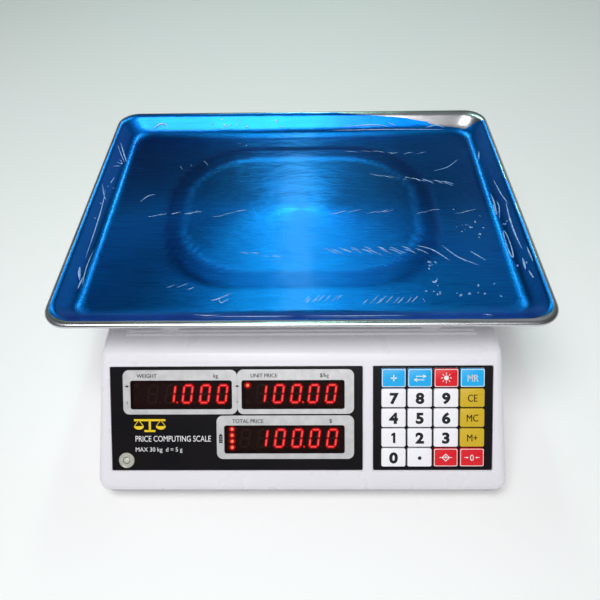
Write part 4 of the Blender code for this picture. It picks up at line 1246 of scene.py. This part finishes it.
# Folds up the walls: by wall, the places along it and up it that a fold runs through, and its width.
WALL_FOLDS = {
    "left": ((((88, 0.75), (76, 0.35), (68, 0.05)), 1.5), (((82, 0.85), (72, 0.45), (66, 0.15)), 1.0),
        (((66, 0.5), (62, 0.25), (60, 0.6)), 0.9), (((58, 0.3), (52, 0.7)), 0.8),
        (((20, 0.65), (0, 0.5), (-30, 0.42), (-62, 0.4)), 0.9), (((24, 0.9), (12, 0.6), (8, 0.4)), 0.8),
        (((-72, 0.5), (-78, 0.42), (-84, 0.3)), 2.2), (((-80, 0.2), (-92, 0.25)), 1.2),
        (((-50, 0.15), (-70, 0.2), (-88, 0.1)), 0.7), (((40, 0.4), (30, 0.5)), 0.8)),
    "right": ((((-10, 0.0), (2, 0.12), (16, 0.1)), 1.4), (((-16, 0.12), (-4, 0.3), (4, 0.28)), 1.0),
        (((-2, 0.72), (-20, 0.62), (-40, 0.6), (-58, 0.68)), 1.4), (((-66, 0.55), (-78, 0.5)), 1.6),
        (((-80, 0.62), (-88, 0.7)), 1.2), (((66, 0.1), (76, 0.25)), 1.6),
        (((30, 0.5), (10, 0.62), (-6, 0.8)), 0.9), (((-58, 0.92), (-74, 0.95)), 1.1)),
    "front": ((((-62, 0.45), (-30, 0.5), (-4, 0.46)), 1.1), (((2, 0.45), (40, 0.5), (76, 0.44)), 1.1),
        (((-76, 0.1), (-66, 0.3), (-58, 0.2)), 1.2), (((128, 0.3), (134, 0.5)), 1.0)),
    "rear": ((((-146, 0.3), (-138, 0.6), (-132, 0.4)), 1.8), (((40, 0.3), (70, 0.4), (84, 0.3)), 1.1),
        (((30, 0.1), (90, 0.12), (140, 0.08)), 0.8), (((122, 0.2), (132, 0.35), (140, 0.2)), 1.3),
        (((84, 0.55), (92, 0.35)), 1.0)),
}
WALL_BUBBLES = (
    # the wall, where along and up it they lie, how many, and their largest radius
    ("rear", (-92, -16), (0.25, 0.85), 14, 1.4), ("right", (-90, -20), (0.2, 0.8), 6, 1.0),
    ("left", (-95, 60), (0.2, 0.8), 6, 0.9),
)


def film_folds():
    """The film's creases: rows of short strokes on the floor, blisters at the right, folds up the walls."""
    draw = random.Random(7)
    shape = bmesh.new()
    for start, stop, count, run in FLOOR_ROWS:
        for number in range(count):
            share = number / max(count - 1, 1)
            x = start[0] + (stop[0] - start[0]) * share + draw.uniform(-1.5, 1.5)
            y = start[1] + (stop[1] - start[1]) * share + draw.uniform(-0.8, 0.8)
            length = draw.uniform(0.75, 1.15)
            bend = draw.uniform(-1.2, 1.2)
            points = [on_floor((x + run[0] * length * t) * MM, (y + run[1] * length * t + bend * lift) * MM)
                      for t, lift in ((0, 0), (0.5, 1), (1, 0))]
            crease(shape, points, draw.uniform(0.55, 0.95) * MM, draw.uniform(0.18, 0.32) * MM)
    for spots in LONG_CREASES:
        crease(shape, [on_floor(x * MM, y * MM) for x, y in spots], 1.0 * MM, 0.35 * MM)
    for (left, low), (right, high), count, largest in BUBBLE_PATCHES:
        for _ in range(count):
            spot = on_floor(draw.uniform(left, right) * MM, draw.uniform(low, high) * MM)
            size = draw.uniform(0.45, 1) * largest * MM
            bubble(shape, spot, size, size * draw.uniform(0.4, 0.8), 0.3 * MM, draw.uniform(0, 3))
    for side, folds in WALL_FOLDS.items():
        for spots, width in folds:
            places = [wall_place(side, along * MM, up) for along, up in spots]
            crease(shape, [place for place, _ in places], width * MM, width * 0.35 * MM, places[0][1])
    for side, (low, high), (bottom, top), count, largest in WALL_BUBBLES:
        for _ in range(count):
            place, inward = wall_place(side, draw.uniform(low, high) * MM, draw.uniform(bottom, top))
            size = draw.uniform(0.45, 1) * largest * MM
            bubble(shape, place, size, size * draw.uniform(0.5, 1), 0.35 * MM, draw.uniform(0, 3), inward)
    blister_loops(shape)
    # painted highlight: the creases are drawn in a paler blue than the film
    finish_piece(object_from("film_folds", shape, 60), "pan", "film_blue", paint=FILM_CREASE_HIGHLIGHT)


def blister_loops(shape):
    """A long narrow blister at the foot of the right wall, outlined by its folded edge, and a small one above."""
    for middle, half_length, up, half_up, width in ((-46, 15, 0.12, 0.10, 0.9), (-4, 6, 0.06, 0.05, 0.7)):
        spots = []
        for step in range(13):
            turn = 2 * pi * step / 12
            along = (middle + half_length * cos(turn)) * MM
            place, inward = wall_place("right", along, up + half_up * sin(turn))
            spots.append(place)
        crease(shape, spots, width * MM, 0.40 * MM, inward, 0.8)


# ---- feet, buffers and side fittings ----

def upright(node):
    """The middle of a round node's foot, its radius and its height."""
    low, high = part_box(node)
    centre = (low + high) / 2
    return (centre.x, centre.y, low.z), (high.x - low.x) / 2, high.z - low.z


def feet():
    """Ribbed rubber-soled pads on threaded studs."""
    axis = 0.01 * MM
    for corner in CORNERS:
        foot, radius, height = upright("foot_pad_" + corner)
        pad, stud = f"foot_{corner}_pad", f"foot_{corner}_stud"
        profile = [(axis, height), (4.3 * MM, height), (radius * 0.72, height), (radius * 0.80, height - 0.6 * MM),
                   (radius * 0.82, height - 1.6 * MM), (radius - 0.5 * MM, height - 2.2 * MM),
                   (radius, height - 2.8 * MM), (radius, 2.6 * MM), (radius - 0.6 * MM, 2.2 * MM),
                   (radius - 0.6 * MM, 2.0 * MM), (axis, 2.0 * MM)]
        sole = [(axis, 1.95 * MM), (radius - 0.3 * MM, 1.9 * MM), (radius - 0.3 * MM, 0.5 * MM),
                (radius - 0.8 * MM, 0), (radius * 0.55, 0), (radius * 0.5, 0.6 * MM), (axis, 0.6 * MM)]
        disc = object_from("foot_disc_" + corner, turned(profile, foot, 96, flutes=24, flute_depth=0.5 * MM))
        finish_piece(disc, pad, "rubber_black", ["foot_pad_" + corner], paint=PAINTS["fitting_black"])
        finish_piece(object_from("foot_sole_" + corner, turned(sole, foot, 48)), pad, "rubber_black")
        foot, _, height = upright("foot_stud_" + corner)
        thread = object_from("foot_thread_" + corner, threaded_stud(foot, height))
        finish_piece(thread, stud, "steel_zinc", ["foot_stud_" + corner])


def threaded_stud(foot, height):
    """A stud with a helical ridge for its thread."""
    pitch, radius, depth, steps = 1.25 * MM, 4.0 * MM, 0.55 * MM, 24
    levels = int(height / (pitch / 4))
    rings = []
    for level in range(levels + 1):
        z = foot[2] + height * level / levels
        ring = []
        for step, angle in enumerate(turns(steps)):
            phase = ((z - foot[2]) / pitch + step / steps) % 1
            reach = radius - depth * (1 if level in (0, levels) else abs(2 * phase - 1))
            ring.append((foot[0] + reach * cos(angle), foot[1] + reach * sin(angle), z))
        rings.append(ring)
    return loft(rings)


def buffers():
    """The rubber bosses that the pan sits on."""
    axis = 0.01 * MM
    for corner in CORNERS:
        foot, radius, height = upright("buffer_" + corner)
        profile = [(axis, height), (radius * 0.35, height), (radius * 0.40, height - 0.5 * MM),
                   (radius * 0.55, height - 0.5 * MM), (radius * 0.60, height), (radius - 1.0 * MM, height),
                   (radius - 0.3 * MM, height - 0.3 * MM), (radius, height - 1.0 * MM), (radius, 0), (axis, 0)]
        made = object_from("buffer_cap_" + corner, turned(profile, foot, 48))
        finish_piece(made, "platform", "rubber_black", ["buffer_" + corner])


HINGE_REACH = 12 * MM


def load_cell():
    """The bar between base and platform, thinned by two holes and a slot at its middle, where it bends."""
    low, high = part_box("load_cell")
    middle = (low + high) / 2
    bar = box_piece("load_cell_bar", low, high, 0.8 * MM)
    across, radius = mm(20, 8)
    hollows = [box_piece("cell_slot", (-across, middle.y - HINGE_REACH, middle.z - 2 * MM),
                         (across, middle.y + HINGE_REACH, middle.z + 2 * MM), 0)]
    for side in (-1, 1):
        hole = bmesh.new()
        spot = Matrix.Translation((0, middle.y + side * HINGE_REACH, middle.z))
        bmesh.ops.create_cone(hole, cap_ends=True, segments=48, radius1=radius, radius2=radius, depth=2 * across,
                              matrix=spot @ Matrix.Rotation(pi / 2, 4, "Y"))
        hollows.append(object_from(f"cell_hole_{side + 2}", hole))
    cut(bar, hollows)
    shape = bmesh.new()
    shape.from_mesh(bar.data)
    slices = 24
    for step in range(1, slices):
        here = (0, low.y + (high.y - low.y) * step / slices, 0)
        everything = [*shape.verts, *shape.edges, *shape.faces]
        bmesh.ops.bisect_plane(shape, geom=everything, plane_co=here, plane_no=(0, 1, 0))
    shape.to_mesh(bar.data)
    shape.free()
    bar.data.materials.clear()
    bar.data.materials.append(PAINTS["cell_aluminium"].material)
    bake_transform(bar)
    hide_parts("load_cell")


def fitting(name, y, flange, body, well, well_depth):
    """A black fitting in the side wall: a rounded flange, the body behind it and a well cut into both."""
    plate = cushioned_plate(around(y, flange), 1.4 * MM, 0.3 * MM, 2.3 * MM, 0.8 * MM)
    made = object_from(name, plate, matrix=SIDE)
    cut(made, [panel_cutter("fitting_body", around(y, body), -14.5 * MM, 1 * MM, SIDE)], "UNION")
    cut(made, [panel_cutter("fitting_well", around(y, well), -well_depth, 5 * MM, SIDE, 1.4 * MM)])
    return made


def power_switch():
    y = middle_of("switch_bezel").y
    bezel = fitting("switch_frame", y, mm(15, 21), mm(12.6, 18.6), mm(10.4, 16), 8.7 * MM)
    finish_piece(bezel, "base", "fitting_black", ["switch_bezel"])
    standing = Matrix(((0, 0, 1), (1, 0, 0), (0, 1, 0))).to_4x4()
    tilt = Matrix.Rotation(radians(10), 4, "X")
    place = SIDE @ Matrix.Translation((y, 0, -1 * MM)) @ tilt @ standing
    half = 4.8 * MM
    outline = ((-5.6, -3), (5.6, -3), (6.6, 2), (7, 3.4), (6.6, 3.95), (3.4, 3.0), (0, 2.55), (-3.4, 3.0),
               (-6.6, 3.95), (-7, 3.4), (-6.6, 2))
    rings = [[(x * inset * MM, y_out * inset * MM, z) for x, y_out in outline]
             for inset, z in ((0.94, -half), (1, -half + 0.4 * MM), (1, half - 0.4 * MM), (0.94, half))]
    rocker = object_from("rocker_cap", loft(rings), 25)
    finish_piece(rocker, "rocker", "fitting_black", ["power_rocker"], place)
    for name, side in (("off", 1), ("on", -1)):
        lean = atan2(1.2, 6.6) * side
        face = place @ Matrix.Translation((side * 4 * MM, 3.22 * MM, 0)) @ Matrix.Rotation(lean, 4, "Z") @ (
            Matrix.Rotation(-pi / 2, 4, "X"))
        mark = Print("rocker_mark_" + name, 0)
        if name == "off":
            mark.area(circle(0, 0, 1.5 * MM, 24), circle(0, 0, 1.1 * MM, 24))
        else:
            mark.bar((-1.5 * MM, 0), (1.5 * MM, 0), 0.45 * MM)
        mark.piece(WHITE_INK, face, "rocker")


def power_inlet():
    y = middle_of("power_inlet").y
    inlet = fitting("inlet_frame", y, mm(30, 22), mm(27, 19.4), mm(24, 16.4), 13 * MM)
    finish_piece(inlet, "base", "fitting_black", ["power_inlet"])
    shape = bmesh.new()
    for x, up in (mm(-7, 0), mm(7, 0), mm(0, 4)):
        rings = []
        for grow, z in ((0, -13.4), (0, -5.2), (-0.35, -4.4)):
            half_x, half_y = mm(1 + grow, 2 + grow)
            outline = rounded(y + x - half_x, y + x + half_x, up - half_y, up + half_y, 0.3 * MM, 3)
            rings.append([(px, py, z * MM) for px, py in outline])
        loft(rings, shape)
    finish_piece(object_from("inlet_blades", shape), "base", "steel_zinc", matrix=SIDE, paint=BRASS)


# ---- rear display ----

REAR_WINDOWS = (mm(-124.55, -51.65), mm(-43.65, 29.95), mm(37.95, 124.55))


def rear_display():
    """The customer's side: the same three readings in one row, with printed frames and captions."""
    prints = Print("rear_frames")
    words = Print("rear_captions")
    readings = (("WEIGHT", "kg", " 1.000"), ("UNIT PRICE", "$/kg", "100.00"), ("TOTAL PRICE", "$", " 100.00"))
    for number, ((left, right), (title, unit, reading)) in enumerate(zip(REAR_WINDOWS, readings)):
        edges = (left - 2 * MM, right + 2 * MM, -12.4 * MM, 12.4 * MM)
        inner = rounded(left - 0.6 * MM, right + 0.6 * MM, -10.7 * MM, 10.7 * MM, WINDOW_CORNER)
        prints.area(rounded(*edges, 2 * MM), inner)
        words.text(title, left + 1 * MM, 16 * MM, 2.6 * MM, "LEFT", narrow=0.9)
        words.text(unit, right - 4 * MM, 16 * MM, 2.6 * MM, narrow=0.9)
        cells = len(reading.replace(".", ""))
        last = (left + right) / 2 + (cells - 1) / 2 * DIGIT_PITCH - 1.2 * MM
        digits(f"rear_reading_{number}", reading, last, 0, REAR)
    prints.piece(SILVER_INK, REAR)
    words.piece(WHITE_INK, REAR)


def front_readings():
    upper, lower = mm(-20.5, -53.4)
    digits("weight_reading", " 1.000", -57.2 * MM, upper, FRONT, ((*mm(-126 + 6.2, -14), False),))
    lamps = ((*mm(-38.7, -14.2), True), (*mm(-38.7, -26.5), False))
    digits("unit_price_reading", "100.00", 22.0 * MM, upper, FRONT, lamps)
    lamps = [(-50.5 * MM, -(46.6 + 4.5 * step) * MM, True) for step in range(4)]
    digits("total_price_reading", " 100.00", 22.6 * MM, lower, FRONT, lamps)


# ---- the rest of the CAD model ----

def paint_cad_nodes():
    """Every CAD node gets the material of its slot, whether it stays in view or not."""
    for name, node in frame["nodes"].items():
        node.data.materials.clear()
        node.data.materials.append(PAINTS[SLOT_OF[name]].material)


# ---- room, lights and camera ----

def floor():
    shape = bmesh.new()
    bmesh.ops.create_grid(shape, x_segments=2, y_segments=2, size=3)
    made = object_from("floor", shape)
    paint = Paint("floor_looks", (0.96, 0.96, 0.965), 0.6)
    paint.vary_roughness(paint.noise(4, 2), 0.05)
    made.data.materials.append(paint.material)


def world():
    """A room that is pale below, dark at eye level and dim overhead, for the tray to mirror."""
    room = bpy.data.worlds.new("room")
    bpy.context.scene.world = room
    room.use_nodes = True
    nodes, links = room.node_tree.nodes, room.node_tree.links
    place = nodes.new("ShaderNodeTexCoord")
    split = nodes.new("ShaderNodeSeparateXYZ")
    ramp = nodes.new("ShaderNodeValToRGB")
    links.new(place.outputs["Generated"], split.inputs[0])
    links.new(split.outputs["Z"], ramp.inputs["Fac"])
    links.new(ramp.outputs["Color"], nodes["Background"].inputs["Color"])
    stops = ((0.0, 0.42), (0.25, 0.32), (0.46, 0.07), (0.82, 0.06), (1.0, 0.22))
    for position, level in stops[1:-1]:
        ramp.color_ramp.elements.new(position)
    for element, (position, level) in zip(ramp.color_ramp.elements, stops):
        element.position = position
        element.color = (level, level, level * 1.01, 1)
    nodes["Background"].inputs["Strength"].default_value = 1.0


def area_light(name, spot, aim, size, power, colour=(1, 1, 1)):
    lamp = bpy.data.lights.new(name, "AREA")
    lamp.shape = "RECTANGLE"
    lamp.size, lamp.size_y = size
    lamp.energy = power
    lamp.color = colour
    made = placed(name, lamp)
    made.location = spot
    made.rotation_mode = "QUATERNION"
    made.rotation_quaternion = (Vector(aim) - Vector(spot)).to_track_quat("-Z", "Y")


def lights():
    centre = (0, 0, 0.08)
    area_light("front_softbox", (0.1, -1.1, 1.3), centre, (1.0, 0.7), 7.5)
    area_light("overhead", (-0.25, -0.45, 1.45), centre, (0.9, 0.7), 14)
    streak = (0.5, 1.0, 0.82)
    area_light("rear_strip", (-0.025, 0.95, 1.25), (0, 0.02, 0.1), (0.10, 0.9), 3.0, streak)
    area_light("rear_glow", (0.02, 1.0, 1.22), (0, 0.02, 0.1), (0.6, 0.9), 0.55, streak)
    area_light("rear_right_softbox", (0.85, 1.0, 0.8), (0.1, 0.05, 0.1), (0.7, 0.7), 0.4)


def camera():
    """At the height and slope from which the scale is usually shown, a little to the right of its middle."""
    lens = bpy.data.cameras.new("camera")
    lens.sensor_width = 36
    lens.lens = 33.05
    lens.clip_start = 0.01
    made = placed("camera", lens)
    pitch, yaw, roll = (radians(angle) for angle in (49.616, 1.3134, -1.3219))
    turn = Matrix.Rotation(yaw, 3, "Z")
    forward = turn @ Vector((0, cos(pitch), -sin(pitch)))
    up = turn @ Vector((0, sin(pitch), cos(pitch)))
    right = turn @ Vector((1, 0, 0))
    right, up = right * cos(roll) + up * sin(roll), up * cos(roll) - right * sin(roll)
    axes = Matrix((right, up, -forward)).transposed().to_4x4()
    made.matrix_world = Matrix.Translation((0.005733, -0.327712, 0.416484)) @ axes
    bpy.context.scene.camera = made


def main():
    bpy.context.scene.view_settings.view_transform = "Standard"
    camera()
    paint_cad_nodes()
    top_shell()
    post_collars()
    bottom_tray()
    case_screws()
    hatch_cover()
    silver_frames()
    captions()
    front_readings()
    level_vial()
    keys()
    power_switch()
    power_inlet()
    rear_display()
    pan_tray()
    protective_film()
    film_folds()
    feet()
    buffers()
    load_cell()
    floor()
    world()
    lights()


main()
